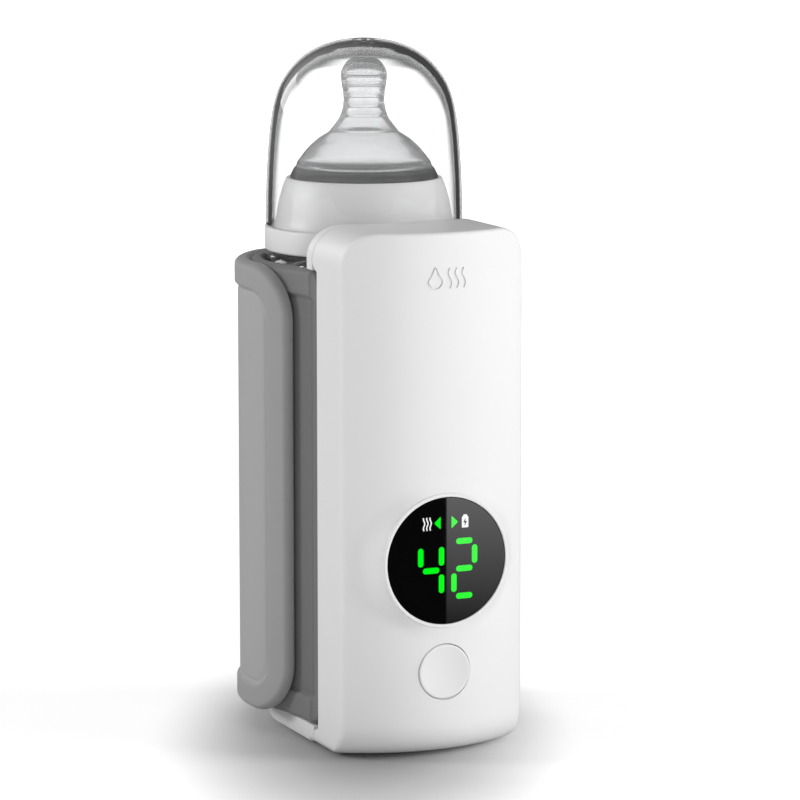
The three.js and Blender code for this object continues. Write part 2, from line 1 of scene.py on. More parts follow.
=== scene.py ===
"""Bottle warmer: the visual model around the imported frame. Metres, +Z up, the display faces -Y."""
import math

import bmesh
import bpy
import numpy as np
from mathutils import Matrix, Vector


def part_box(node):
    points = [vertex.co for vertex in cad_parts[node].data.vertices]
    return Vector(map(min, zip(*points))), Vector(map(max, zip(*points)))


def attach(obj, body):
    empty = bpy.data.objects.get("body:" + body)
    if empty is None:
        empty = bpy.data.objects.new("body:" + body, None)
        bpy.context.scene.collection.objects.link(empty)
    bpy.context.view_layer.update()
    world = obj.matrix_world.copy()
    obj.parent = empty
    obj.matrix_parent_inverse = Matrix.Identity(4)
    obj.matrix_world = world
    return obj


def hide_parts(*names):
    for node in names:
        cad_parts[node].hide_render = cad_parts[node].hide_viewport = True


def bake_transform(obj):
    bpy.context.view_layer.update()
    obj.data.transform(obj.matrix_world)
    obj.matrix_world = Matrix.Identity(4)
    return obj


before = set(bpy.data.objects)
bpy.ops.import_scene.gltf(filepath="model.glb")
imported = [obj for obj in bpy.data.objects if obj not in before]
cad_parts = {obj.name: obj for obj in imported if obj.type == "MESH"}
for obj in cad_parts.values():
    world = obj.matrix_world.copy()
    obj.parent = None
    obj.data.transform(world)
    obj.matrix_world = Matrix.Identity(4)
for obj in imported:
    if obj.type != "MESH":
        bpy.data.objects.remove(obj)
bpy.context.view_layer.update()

MM = 0.001

# ---------- Driving dimensions, read from the frame or stated in millimetres ----------

shell_low, shell_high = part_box("front_shell")
lens_low, lens_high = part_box("display_lens")
button_low, button_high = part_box("power_button")
usb_low, usb_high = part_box("usb_c_socket")
pad_low, pad_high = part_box("contact_pad")
loop_low, loop_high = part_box("loop_patch")

HALF_WIDTH = shell_high.x
TOP = shell_high.z
BOTTOM = shell_low.z
RIM_Y = shell_low.y
LENS_RADIUS = lens_high.x
LENS_Z = (lens_low.z + lens_high.z) / 2
LENS_Y = lens_low.y
BUTTON_Z = (button_low.z + button_high.z) / 2
BUTTON_Y = button_low.y
BUTTON_RADIUS = 8.62 * MM

FRONT_EDGE_Y = -53.1 * MM
BULGE = 10 * MM
WALL = 2 * MM
TOP_CORNER = 10.3 * MM
BOTTOM_CORNER = 2.5 * MM
FOOT_FILLET = 11 * MM
EDGE_ROUND = 1.3 * MM
SEAM_Y = -31.05 * MM
REAR_Y = -25.6 * MM
SADDLE = 6.4 * MM
SEAM_GAP = 0.3 * MM
SLOT_LOW = 6.2 * MM
SLOT_HIGH = 151 * MM
NOTCH_Y = -34.6 * MM
RECESS_X = 27.3 * MM
SHELF_TOP = 6.2 * MM
SHELF_RADIUS = 30.6 * MM
POCKET = 1.5 * MM
BEZEL_RADIUS = 21 * MM
FLARE = 5.6 * MM
CUT_FRONT = 70 * MM
CUT_REAR = 50 * MM
CUT_SIDE = 45 * MM
SOCKET_CUT = (26 * MM, 34 * MM)
ENGRAVING_WIDTH = 0.62 * MM
ENGRAVING_DEPTH = 0.55 * MM

SLEEVE_LOW = 6.8 * MM
SLEEVE_HIGH = 150.4 * MM
FLAP_CORNER = 17 * MM
WELT_AT = 4.2 * MM
BAND = 8.5 * MM
BAND_HEIGHT = 1 * MM
SLOT_CORNER = 5 * MM
WELT_HEIGHT = 0.4 * MM
PATCH_THICKNESS = 1.25 * MM
WRAP_RADIUS = 33.6
PAD_HOLLOW_RADIUS = 31.1 * MM
FREE_EDGE_ANGLE = 59


# ---------- Mesh helpers ----------

def grid_faces(rows, columns, wrap=False, offset=0):
    faces = []
    for i in range(rows if wrap else rows - 1):
        for j in range(columns - 1):
            a = offset + i * columns + j
            b = offset + ((i + 1) % rows) * columns + j
            faces.append((a, a + 1, b + 1, b))
    return faces


def two_sided_faces(rows, columns):
    """Faces of two grids of the same layout, one for each side of a soft sheet."""
    back = grid_faces(rows, columns, offset=rows * columns)
    return grid_faces(rows, columns) + [tuple(reversed(face)) for face in back]


def combine(parts):
    vertices, faces = [], []
    for part_vertices, part_faces in parts:
        start = len(vertices)
        vertices.extend([tuple(v) for v in part_vertices])
        faces.extend([tuple(i + start for i in face) for face in part_faces])
    return vertices, faces


def smooth_by_angle(piece, degrees=38):
    """Merges doubled points, turns faces outwards and shades smooth, except across sharp edges."""
    work = bmesh.new()
    work.from_mesh(piece.data)
    bmesh.ops.remove_doubles(work, verts=work.verts, dist=2e-6)
    bmesh.ops.dissolve_degenerate(work, edges=work.edges, dist=1e-6)
    bmesh.ops.recalc_face_normals(work, faces=work.faces)
    for face in work.faces:
        face.smooth = True
    limit = math.radians(degrees)
    for edge in work.edges:
        edge.smooth = edge.calc_face_angle(0.0) < limit
    work.to_mesh(piece.data)
    work.free()
    return piece


def mesh_object(name, vertices, faces, degrees=38, band=None):
    mesh = bpy.data.meshes.new(name)
    mesh.from_pydata([tuple(v) for v in vertices], [], faces)
    if band is not None:
        mesh.attributes.new("band", "FLOAT", "POINT").data.foreach_set("value", band)
    piece = bpy.data.objects.new(name, mesh)
    bpy.context.scene.collection.objects.link(piece)
    return smooth_by_angle(piece, degrees)


def cut(piece, tool):
    modifier = piece.modifiers.new("cut", "BOOLEAN")
    modifier.operation = "DIFFERENCE"
    modifier.solver = "EXACT"
    modifier.object = tool
    graph = bpy.context.evaluated_depsgraph_get()
    result = bpy.data.meshes.new_from_object(piece.evaluated_get(graph))
    piece.modifiers.clear()
    piece.data = result
    bpy.data.objects.remove(tool)
    return smooth_by_angle(piece)


def rounded_profile(points, closed=True, steps=5):
    """Corner points (a, b, radius) in millimetres become an outline with rounded corners, in metres."""
    outline = []
    count = len(points)
    for i, (a, b, radius) in enumerate(points):
        corner = Vector((a, b))
        if radius == 0 or (not closed and i in (0, count - 1)):
            outline.append(corner * MM)
            continue
        before = Vector(points[i - 1][:2]) - corner
        after = Vector(points[(i + 1) % count][:2]) - corner
        reach = min(radius, before.length * 0.49, after.length * 0.49)
        start = corner + before.normalized() * reach
        end = corner + after.normalized() * reach
        for k in range(steps + 1):
            t = k / steps
            outline.append((start * (1 - t) ** 2 + corner * (2 * t * (1 - t)) + end * t * t) * MM)
    return [(p.x, p.y) for p in outline]


def smooth_curve(points, per_span=6):
    """A smooth curve through the points, in metres, from points in millimetres."""
    ends = [2 * np.array(points[0]) - np.array(points[1]), 2 * np.array(points[-1]) - np.array(points[-2])]
    knots = [ends[0]] + [np.array(p, float) for p in points] + [ends[1]]
    curve = []
    for i in range(1, len(knots) - 2):
        p0, p1, p2, p3 = knots[i - 1:i + 3]
        for k in range(per_span):
            t = k / per_span
            curve.append(0.5 * (2 * p1 + (p2 - p0) * t + (2 * p0 - 5 * p1 + 4 * p2 - p3) * t ** 2
                                + (3 * p1 - p0 - 3 * p2 + p3) * t ** 3))
    curve.append(knots[-2])
    return [tuple(p * MM) for p in curve]


def turned(profile, segments=128, front_centre_z=None):
    """A profile of (radius, height) turned about the bottle's axis, or about an axis along -Y at a height."""
    vertices = []
    for i in range(segments):
        angle = 2 * math.pi * i / segments
        for r, h in profile:
            r = max(r, 0)
            if front_centre_z is None:
                vertices.append((r * math.cos(angle), r * math.sin(angle), h))
            else:
                vertices.append((r * math.cos(angle), -h, front_centre_z + r * math.sin(angle)))
    return vertices, grid_faces(segments, len(profile), wrap=True)


def closed(profile):
    return list(profile) + [profile[0]]


def strip_faces(ring_a, ring_b):
    """Faces between two closed rings of vertex numbers of the same length."""
    count = len(ring_a)
    return [(ring_a[k], ring_a[(k + 1) % count], ring_b[(k + 1) % count], ring_b[k]) for k in range(count)]


def prism(outline, low, high, axis):
    """An outline as a closed prism along x (axis 0) or y (axis 1)."""
    count = len(outline)
    vertices = []
    for level in (low, high):
        vertices += [(level, a, b) if axis == 0 else (a, level, b) for a, b in outline]
    faces = [tuple(range(count)), tuple(range(2 * count - 1, count - 1, -1))]
    return vertices, faces + strip_faces(range(count), range(count, 2 * count))


def unit(vectors):
    return vectors / np.linalg.norm(vectors, axis=1)[:, None]


def rolled_edge(share):
    """How full a sheet with a round edge is, at a share of the way in to its full thickness."""
    return np.sqrt(np.maximum(1 - np.square(1 - np.minimum(share, 1)), 0))


def smoothstep(low, high, value):
    t = np.clip((value - low) / (high - low), 0, 1)
    return t * t * (3 - 2 * t)


# ---------- Materials ----------

def node(tree, kind, output, inputs=None, **settings):
    """Adds a node, applies its settings, sets or links its inputs and gives back one of its outputs."""
    made = tree.nodes.new("ShaderNode" + kind)
    for name, value in settings.items():
        setattr(made, name, value)
    for name, value in (inputs or {}).items():
        feed(tree, made.inputs[name], value)
    return made.outputs[output]


def feed(tree, socket, value):
    if isinstance(value, bpy.types.NodeSocket):
        tree.links.new(value, socket)
    else:
        socket.default_value = value


def shader(name, **sockets):
    """A new material. Names of sockets have _ for each space."""
    made = bpy.data.materials.new(name)
    made.use_nodes = True
    principled = made.node_tree.nodes["Principled BSDF"]
    for socket, value in sockets.items():
        principled.inputs[socket.replace("_", " ")].default_value = value
    return made, made.node_tree, principled.inputs


def noise(tree, scale, detail=3):
    place = node(tree, "TexCoord", "Object")
    return node(tree, "TexNoise", "Fac", {"Vector": place, "Scale": scale, "Detail": detail})


def soft_ramp(tree, value, low, high, at_low, at_high, kind="SMOOTHSTEP"):
    inputs = {"Value": value, "From Min": low, "From Max": high, "To Min": at_low, "To Max": at_high}
    return node(tree, "MapRange", "Result", inputs, interpolation_type=kind)


def even_ramp(tree, value, at_low, at_high):
    return soft_ramp(tree, value, 0, 1, at_low, at_high, "LINEAR")


def two_tones(tree, value, first, second):
    made = tree.nodes.new("ShaderNodeValToRGB")
    made.color_ramp.elements[0].color = (*first, 1)
    made.color_ramp.elements[1].color = (*second, 1)
    tree.links.new(value, made.inputs["Fac"])
    return made.outputs["Color"]


def bump(tree, height, strength, distance):
    return node(tree, "Bump", "Normal", {"Height": height, "Strength": strength, "Distance": distance})


def moulded(name, color, roughness, grain_scale=2600, grain=0.05, variation=0.03, rough_spread=0.08,
            **sockets):
    """Moulded plastic, rubber or coated metal: fine surface grain, and slow changes of colour and gloss."""
    made, tree, inputs = shader(name, **sockets)
    darker = [c * (1 - variation) for c in color]
    lighter = [min(c * (1 + variation), 1) for c in color]
    feed(tree, inputs["Base Color"], two_tones(tree, noise(tree, 45), darker, lighter))
    half_spread = rough_spread / 2
    feed(tree, inputs["Roughness"],
         even_ramp(tree, noise(tree, 160), roughness - half_spread, roughness + half_spread))
    feed(tree, inputs["Normal"], bump(tree, noise(tree, grain_scale, detail=2), grain, 0.0001))
    return made


def paint_band_light_and_shade(made, scale):
    """Scales the colour of a moulded finish where the piece's band attribute is high: painted light and shade
    on a sleeve's border band.
    """
    tree = made.node_tree
    color = tree.nodes["Principled BSDF"].inputs["Base Color"]
    band = node(tree, "Attribute", "Fac", attribute_name="band")
    inputs = {"Factor": band, "A": color.links[0].from_socket, "B": (scale, scale, scale, 1)}
    feed(tree, color, node(tree, "Mix", "Result", inputs, data_type="RGBA", blend_type="MULTIPLY"))
    return made


def clear(name, color, ior, roughness, wave_scale=18, clearness=1.0):
    """Clear glass, plastic or silicone with faint waves in its surface."""
    made, tree, inputs = shader(name, Base_Color=(*color, 1), Transmission_Weight=clearness, IOR=ior)
    feed(tree, inputs["Roughness"], even_ramp(tree, noise(tree, 90), roughness, roughness + 0.02))
    feed(tree, inputs["Normal"], bump(tree, noise(tree, wave_scale, detail=1), 0.02, 0.001))
    return made


def painted_light_by_height(made, low, high, at_low, at_high):
    """Scales the colour of a finish between two heights: painted light and shade near a piece's foot."""
    tree = made.node_tree
    color = tree.nodes["Principled BSDF"].inputs["Base Color"]
    height = node(tree, "SeparateXYZ", "Z", {"Vector": node(tree, "TexCoord", "Object")})
    plain = color.links[0].from_socket if color.is_linked else color.default_value[:3]
    scale = soft_ramp(tree, height, low, high, at_low, at_high)
    feed(tree, color, node(tree, "VectorMath", "Vector", {0: plain, "Scale": scale}, operation="SCALE"))
    return made


def glowing(name, color, strength):
    """A lit sign under the lens's gloss, with a slightly uneven light."""
    made, tree, inputs = shader(name, Base_Color=(0, 0, 0, 1), Roughness=0.03, Emission_Strength=strength)
    dimmer = [c * 0.93 for c in color]
    feed(tree, inputs["Emission Color"], two_tones(tree, noise(tree, 500), dimmer, color))
    return made


WHITE = moulded("white_plastic", (0.80, 0.80, 0.80), 0.4, grain=0.03, variation=0.006,
                Specular_IOR_Level=0.35)
# Painted shade: the collar's white is greyer than the shell's, as if shaded under the clear dome.
CAP_WHITE_SHADED = moulded("white_collar_painted_shade", (0.64, 0.64, 0.64), 0.45, grain=0.03, variation=0.006)
# Painted light: the collar's lower ring, below the dome, is lifted back towards the shell's white.
painted_light_by_height(CAP_WHITE_SHADED, 159.5 * MM, 161.2 * MM, 1.25, 1.04)
LENS = moulded("black_lens", (0.002, 0.002, 0.002), 0.012, grain=0.0, variation=0.2, rough_spread=0.006)
# Painted shade: the outer layer's border band is painted darker, as where it turns away from the light.
SLEEVE = paint_band_light_and_shade(moulded("grey_sleeve", (0.385, 0.385, 0.385), 0.62, grain_scale=1500, grain=0.16,
                        variation=0.02, Sheen_Weight=0.1, Sheen_Roughness=0.4, Specular_IOR_Level=0.3), 0.86)
# Painted shade: the inner layer, in the flap's shadow, is a darker copy of the sleeve grey; its border band
# is painted lighter, as where light reaches it.
SLEEVE_INNER_SHADED = paint_band_light_and_shade(moulded("grey_sleeve_inner_painted_shade", (0.165, 0.165, 0.165), 0.66, grain_scale=1500, grain=0.16,
                              variation=0.02, Sheen_Weight=0.1, Specular_IOR_Level=0.25), 1.12)
RUBBER = moulded("dark_rubber", (0.06, 0.06, 0.062), 0.75, grain_scale=1200, grain=0.3)
TEXTILE = moulded("closure_textile", (0.11, 0.11, 0.112), 0.95, grain_scale=4500, grain=1.0, variation=0.3,
                  Sheen_Weight=0.4)
GLASS = clear("clear_glass", (0.985, 0.995, 0.99), 1.5, 0.0)
CLEAR_PLASTIC = clear("clear_plastic", (0.985, 0.99, 0.99), 1.49, 0.0)
SILICONE = clear("clear_silicone", (0.82, 0.825, 0.83), 1.41, 0.09, wave_scale=40, clearness=0.9)
# Painted shade: the teat's foot is darker, standing in for the dark bottle neck seen through the silicone.
painted_light_by_height(SILICONE, 177 * MM, 181.5 * MM, 0.27, 1)
BOARD = moulded("circuit_board", (0.01, 0.09, 0.035), 0.35, grain_scale=500, grain=0.4, variation=0.15)
STEEL = moulded("plated_steel", (0.62, 0.62, 0.61), 0.28, grain_scale=1800, grain=0.08, Metallic=1.0)
BLACK = moulded("black_plastic", (0.02, 0.02, 0.022), 0.5, grain=0.1, variation=0.2)
PALE = moulded("pale_plastic", (0.6, 0.6, 0.58), 0.5, grain=0.1)
CELL = moulded("cell_wrap", (0.04, 0.12, 0.4), 0.3, grain=0.05, variation=0.08)
AMBER = moulded("amber_film", (0.42, 0.14, 0.02), 0.25, grain=0.1, variation=0.15)
RED = moulded("red_wire", (0.4, 0.02, 0.02), 0.4, grain=0.1)
GREEN_LIGHT = glowing("green_light", (0.0, 1.0, 0.01), 1.0)
WHITE_LIGHT = glowing("white_light", (1.0, 1.0, 1.0), 0.95)


def let_light_through(piece):
    """A clear piece casts no shadow, so that what is inside it is lit."""
    piece.visible_shadow = False
    piece.visible_diffuse = False
    return piece


def dress(piece, finish, slot_name, body, *replaced):
    piece.data.materials.clear()
    piece.data.materials.append(finish)
    if body is not None:
        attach(piece, body)
    if replaced:
        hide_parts(*replaced)
    return piece


# ---------- Housing surfaces ----------

FACE_RADIUS = (HALF_WIDTH ** 2 + BULGE ** 2) / (2 * BULGE)
SADDLE_RADIUS = (HALF_WIDTH ** 2 + SADDLE ** 2) / (2 * SADDLE)


def face_y(x, inset=0.0):
    return FRONT_EDGE_Y - BULGE + FACE_RADIUS - np.sqrt((FACE_RADIUS - inset) ** 2 - np.square(x))


def saddle_y(x, shift=0.0):
    return REAR_Y - SADDLE + SADDLE_RADIUS - np.sqrt(SADDLE_RADIUS ** 2 - np.square(x)) + shift


def edge_dense(low, high, edge_steps, middle):
    """Coordinates from low to high, close together near both ends."""
    near = np.array(edge_steps) * MM
    inner = np.linspace(low + near[-1], high - near[-1], middle + 2)[1:-1]
    return np.concatenate([low + near, inner, high - near[::-1]])


EDGE_STEPS = [0, 0.12, 0.3, 0.55, 0.85, 1.2, 1.7, 2.4, 3.3, 4.4, 5.6, 6.9, 8.2, 9.3, 10.3]


def slab_outline(inset):
    """The slab's half width, its low and high ends, and its corners as (radius, centre z, up or down)."""
    half, low, high = HALF_WIDTH - inset, BOTTOM + inset, TOP - inset
    top_radius, low_radius = TOP_CORNER - inset, max(BOTTOM_CORNER - inset, 0.5 * MM)
    return half, low, high, ((top_radius, high - top_radius, 1), (low_radius, low + low_radius, -1))


def rounded_domain(inset, middle_x, middle_z):
    """Grid of x and z over the slab's front outline. Square corners are bent to the round ones."""
    half, low, high, corners = slab_outline(inset)
    x, z = np.meshgrid(edge_dense(-half, half, EDGE_STEPS, middle_x),
                       edge_dense(low, high, EDGE_STEPS, middle_z))
    for radius, centre_z, way in corners:
        a = (np.abs(x) - (half - radius)) / radius
        b = way * (z - centre_z) / radius
        corner = (a > 0) & (b > 0)
        a_round = a * np.sqrt(np.maximum(1 - b * b / 2, 0))
        b_round = b * np.sqrt(np.maximum(1 - a * a / 2, 0))
        x = np.where(corner, np.sign(x) * (half - radius + a_round * radius), x)
        z = np.where(corner, centre_z + way * b_round * radius, z)
    return x, z


def outline_distance(x, z, inset=0.0):
    """How far a point is inside the slab's front outline."""
    half, low, high, corners = slab_outline(inset)
    distance = np.minimum(half - np.abs(x), np.minimum(z - low, high - z))
    for radius, centre_z, way in corners:
        a = np.abs(x) - (half - radius)
        b = way * (z - centre_z)
        distance = np.where((a > 0) & (b > 0), radius - np.hypot(a, b), distance)
    return np.maximum(distance, 0)


def rounding(distance, radius):
    near = np.minimum(distance, radius)
    return radius - np.sqrt(np.maximum(radius ** 2 - (radius - near) ** 2, 0))


def border_loop(rows, columns):
    top = [(0, j) for j in range(columns)]
    right = [(i, columns - 1) for i in range(1, rows)]
    bottom = [(rows - 1, j) for j in range(columns - 2, -1, -1)]
    left = [(i, 0) for i in range(rows - 2, 0, -1)]
    return top + right + bottom + left


def skin_with_walls(x, y, z, rear, wall_steps):
    """A face grid whose border runs straight back, in steps, to the depth that rear gives at each point."""
    rows, columns = x.shape
    vertices = np.stack([x, y, z], -1).reshape(-1, 3).tolist()
    faces = grid_faces(rows, columns)
    loop = border_loop(rows, columns)
    ring = [i * columns + j for i, j in loop]
    for step in range(1, wall_steps + 1):
        share = step / wall_steps
        start = len(vertices)
        for i, j in loop:
            depth = y[i, j] + (rear(x[i, j], z[i, j]) - y[i, j]) * share
            vertices.append([x[i, j], depth, z[i, j]])
        next_ring = list(range(start, len(vertices)))
        faces += strip_faces(ring, next_ring)
        ring = next_ring
    return vertices, faces, ring


def two_skins(outer, inner):
    """Joins an outer and an inner skin of the same layout along their rear rings."""
    vertices, faces = combine([outer[:2], inner[:2]])
    inner_ring = [i + len(outer[0]) for i in inner[2]]
    return vertices, faces + strip_faces(outer[2], inner_ring)


# ---------- Front shell ----------

def notch_depth(x, z):
    """Where the front shell's wall ends: at the seam, or further forward along the sleeve's slots."""
    seam = float(saddle_y(x, SEAM_Y - REAR_Y))
    soft = 1.2 * MM
    along = smoothstep(SLOT_LOW - soft, SLOT_LOW, z) * (1 - smoothstep(SLOT_HIGH, SLOT_HIGH + soft, z))
    beside = 1.0 if abs(x) > 0.85 * HALF_WIDTH else 0.0
    return seam + (NOTCH_Y - seam) * float(along) * beside


def front_face(inset, with_boss):
    x, z = rounded_domain(inset, 44, 120)
    radius = FOOT_FILLET - inset
    y = face_y(x, inset) + rounding(z - BOTTOM - inset, radius)
    if with_boss:
        away = np.clip((np.hypot(x, z - LENS_Z) - BEZEL_RADIUS) / FLARE, 0, 1)
        y = y + (RIM_Y + 0.5 * MM - y) * (1 - away) ** 2.5
    return x, y + rounding(outline_distance(x, z, inset), max(EDGE_ROUND - inset, 0.2 * MM)), z


def pen_edges(points, width, loop=False):
    """The left and right edges of a pen stroke of constant width, from points in millimetres."""
    path = [Vector(p) * MM for p in points]
    count = len(path)
    left, right = [], []
    for i, point in enumerate(path):
        before = path[i - 1] if loop or i > 0 else point
        after = path[(i + 1) % count] if loop or i < count - 1 else point
        along = (after - before).normalized()
        side = Vector((-along.y, along.x)) * width / 2
        left.append(point + side)
        right.append(point - side)
    return left, right


def stroke(points, width):
    """A pen stroke as an outline in x and z."""
    left, right = pen_edges(points, width)
    return [(p.x, p.y) for p in left + right[::-1]]


def ribbon_cutter(points, loop=False):
    """A pen stroke that cuts a groove of constant depth into the front face."""
    left, right = pen_edges(points, ENGRAVING_WIDTH, loop)
    vertices = []
    for edges in zip(left, right):
        for edge in edges:
            vertices.append((edge.x, -CUT_FRONT, edge.y))
            vertices.append((edge.x, float(face_y(edge.x)) + ENGRAVING_DEPTH, edge.y))
    corners = (0, 1, 3, 2)
    rings = [[4 * i + k for k in corners] for i in range(len(left))]
    faces = []
    for ring, next_ring in zip(rings, rings[1:] + rings[:1] if loop else rings[1:]):
        faces += strip_faces(ring, next_ring)
    if not loop:
        faces += [tuple(rings[0]), tuple(reversed(rings[-1]))]
    return mesh_object("groove", vertices, faces)


def engraving_cutters():
    """A generic pictogram: a milk drop beside three rising waves of warmth."""
    drop_x, drop_z, size = -3.6, 149.6, 2.3
    drop = []
    for k in range(28):
        angle = 2 * math.pi * k / 28
        point = max(0, math.sin(angle))
        drop.append((drop_x + size * math.cos(angle) * (1 - 0.45 * point),
                     drop_z + size * math.sin(angle) * (1 + 0.85 * point ** 5)))
    cutters = [ribbon_cutter(drop, loop=True)]
    for wave_x in (1.2, 3.6, 6.0):
        wave = [(wave_x + 0.6 * math.sin(k * math.pi / 5), 147.3 + 0.62 * k) for k in range(11)]
        cutters.append(ribbon_cutter(wave))
    return cutters


def socket_outline():
    """The long round-ended hole round the USB-C socket, seen from the side: y and z."""
    half_y = (usb_high.y - usb_low.y) / 2 + 0.3 * MM
    half_z = (usb_high.z - usb_low.z) / 2 + 0.3 * MM
    centre_y = (usb_high.y + usb_low.y) / 2
    centre_z = (usb_high.z + usb_low.z) / 2
    outline = []
    for k in range(48):
        angle = 2 * math.pi * k / 48
        shift = math.copysign(half_z - half_y, math.sin(angle))
        outline.append((centre_y + half_y * math.cos(angle), centre_z + half_y * math.sin(angle) + shift))
    return outline


def make_front_shell():
    outer = skin_with_walls(*front_face(0.0, True), notch_depth, 12)
    inner = skin_with_walls(*front_face(WALL, False), notch_depth, 12)
    shell = mesh_object("front_shell_moulding", *two_skins(outer, inner))
    bore_radius = BEZEL_RADIUS - 0.2 * MM
    bore = [(0, CUT_FRONT), (bore_radius, CUT_FRONT), (bore_radius, CUT_REAR), (0, CUT_REAR)]
    cut(shell, mesh_object("bore", *turned(bore, 160, LENS_Z)))
    mouth = BUTTON_RADIUS + 0.18 * MM
    flare_front = 64 * MM
    flare_rear = -BUTTON_Y - 0.4 * MM
    hole = [(0, flare_front), (mouth + 0.6 * MM, flare_front), (mouth, flare_rear), (mouth, CUT_REAR),
            (0, CUT_REAR)]
    cut(shell, mesh_object("hole", *turned(hole, 128, BUTTON_Z)))
    cut(shell, mesh_object("socket_hole", *prism(socket_outline(), *SOCKET_CUT, 0)))
    for cutter in engraving_cutters():
        cut(shell, cutter)
    bezel, seat, window = BEZEL_RADIUS / MM + 0.1, LENS_RADIUS / MM + 0.08, 18.4
    rim, seat_floor, rear = -RIM_Y / MM, 62, 58
    ring = rounded_profile([
        (bezel, rear, 0), (bezel, rim, 0.5), (seat, rim, 0.25), (seat, seat_floor, 0),
        (window, seat_floor, 0.2), (window, rear, 0),
    ])
    ring_piece = mesh_object("ring", *turned(closed(ring), 192, LENS_Z))
    outer = mouth + 2 * MM
    guide = [(mouth, 61.6 * MM), (outer, 61.2 * MM), (outer, 57.6 * MM), (mouth, 57.6 * MM)]
    guide_piece = mesh_object("guide", *turned(closed(guide), 96, BUTTON_Z))
    join_into(shell, ring_piece, guide_piece)
    return dress(shell, WHITE, "shell_white", "housing", "front_shell")


def join_into(piece, *others):
    work = bmesh.new()
    work.from_mesh(piece.data)
    for other in others:
        work.from_mesh(other.data)
        bpy.data.objects.remove(other)
    work.to_mesh(piece.data)
    work.free()


# ---------- Back shell with the shelf ----------

def side_recess_outline():
    """The recess that the sleeve's strip lies in, seen from the side: y and z, round at the slot."""
    corner = (SLOT_CORNER + 0.3 * MM) / MM
    gap = 0.35
    low, high = SLEEVE_LOW / MM - gap, SLEEVE_HIGH / MM + gap
    slot_y = NOTCH_Y / MM - 0.6
    corners = [(slot_y, low, corner), (0, low, 0), (0, high, 0), (slot_y, high, corner)]
    return rounded_profile(corners, steps=12)


def make_back_shell():
    x, z = rounded_domain(0.0, 30, 90)
    rear = saddle_y(x) - rounding(outline_distance(x, z), 1.2 * MM)
    outer = skin_with_walls(x, rear, z, lambda px, pz: float(saddle_y(px, SEAM_Y - REAR_Y + SEAM_GAP)), 6)
    front_grid = np.stack([x, saddle_y(x, SEAM_Y - REAR_Y + SEAM_GAP), z], -1).reshape(-1, 3).tolist()
    body = combine([outer[:2], (front_grid, grid_faces(*x.shape))])
    shell = mesh_object("back_shell_moulding", *body)
    for low_x, high_x in ((-CUT_SIDE, -RECESS_X), (RECESS_X, CUT_SIDE)):
        cut(shell, mesh_object("recess", *prism(side_recess_outline(), low_x, high_x, 0)))
    cut(shell, mesh_object("pocket", *pad_pocket()))
    shelf = mesh_object("shelf", *shelf_solid())
    join_into(shell, shelf)
    return dress(shell, WHITE, "shell_white", "housing", "back_shell")


def pad_pocket():
    """The pocket that the heating film and the contact pad lie in. Its floor follows the saddle."""
    gap = 0.35 * MM
    half, low, high = (pad_high.x + gap) / MM, (pad_low.z - gap) / MM, (pad_high.z + gap) / MM
    outline = rounded_profile([(-half, low, 4), (half, low, 4), (half, high, 4), (-half, high, 4)], steps=8)
    vertices = [(x, float(saddle_y(x, -POCKET)), z) for x, z in outline] + [(x, -0.01, z) for x, z in outline]
    vertices.append((0, float(saddle_y(0, -POCKET)), LENS_Z))
    count = len(outline)
    faces = [tuple(range(2 * count - 1, count - 1, -1))]
    faces += strip_faces(range(count), range(count, 2 * count))
    faces += [((k + 1) % count, k, 2 * count) for k in range(count)]
    return vertices, faces


def shelf_solid():
    """The rounded shelf that the bottle stands on: an outline swept through a rounded edge profile."""
    outline = [(SHELF_RADIUS * math.cos(a), SHELF_RADIUS * math.sin(a)) for a in np.linspace(0, math.pi, 73)]
    fronts = np.linspace(-SHELF_RADIUS, SHELF_RADIUS, 17)
    outline += [(x, float(saddle_y(x, -POCKET))) for x in fronts]
    count = len(outline)
    edge = 0.8 * MM
    levels = []
    for t in np.linspace(0, math.pi / 2, 5):
        levels.append((edge * (1 - math.sin(t)), BOTTOM + edge * (1 - math.cos(t))))
    for t in np.linspace(math.pi / 2, 0, 5):
        levels.append((edge * (1 - math.sin(t)), SHELF_TOP - edge * (1 - math.cos(t))))
    vertices = []
    for inset, z in levels:
        factor = 1 - inset / SHELF_RADIUS
        vertices += [(x * factor, y * factor if y > 0 else y, z) for x, y in outline]
    faces = []
    for level in range(len(levels) - 1):
        start = level * count
        faces += strip_faces(range(start, start + count), range(start + count, start + 2 * count))
    faces.append(tuple(range(count - 1, -1, -1)))
    top = (len(levels) - 1) * count
    faces.append(tuple(range(top, top + count)))
    return vertices, faces


# ---------- Display and button ----------

def make_lens():
    front, rear = -LENS_Y / MM, -lens_high.y / MM
    radius = LENS_RADIUS / MM
    corners = [(0, rear, 0), (radius, rear, 0), (radius, front, 0.15)]
    corners += [(r, front, 0) for r in (radius - 0.2, radius - 0.4, radius - 0.6, radius / 2, 0)]
    profile = rounded_profile(corners, closed=False)
    lens = mesh_object("display_window", *turned(profile, 192, LENS_Z))
    return dress(lens, LENS, "lens_black", "housing", "display_lens")


SIGN_FRONT = LENS_Y - 0.03 * MM
SIGN_REAR = LENS_Y + 0.05 * MM


def stadium(x0, z0, x1, z1, width):
    """A stroke with round ends, as an outline in metres from points in millimetres."""
    along = Vector((x1 - x0, z1 - z0)).normalized()
    turn = math.atan2(along.y, along.x)
    outline = []
    for centre, start in (((x1, z1), turn - math.pi / 2), ((x0, z0), turn + math.pi / 2)):
        for k in range(9):
            angle = start + math.pi * k / 8
            outline.append(((centre[0] + width / 2 * math.cos(angle)) * MM,
                            (centre[1] + width / 2 * math.sin(angle)) * MM))
    return outline


def sign(name, outlines, finish):
    raised = [[(x, z + LENS_Z) for x, z in outline] for outline in outlines]
    piece = mesh_object(name, *combine([prism(o, SIGN_FRONT, SIGN_REAR, 1) for o in raised]), degrees=30)
    return dress(piece, finish, "lens_black", "housing")


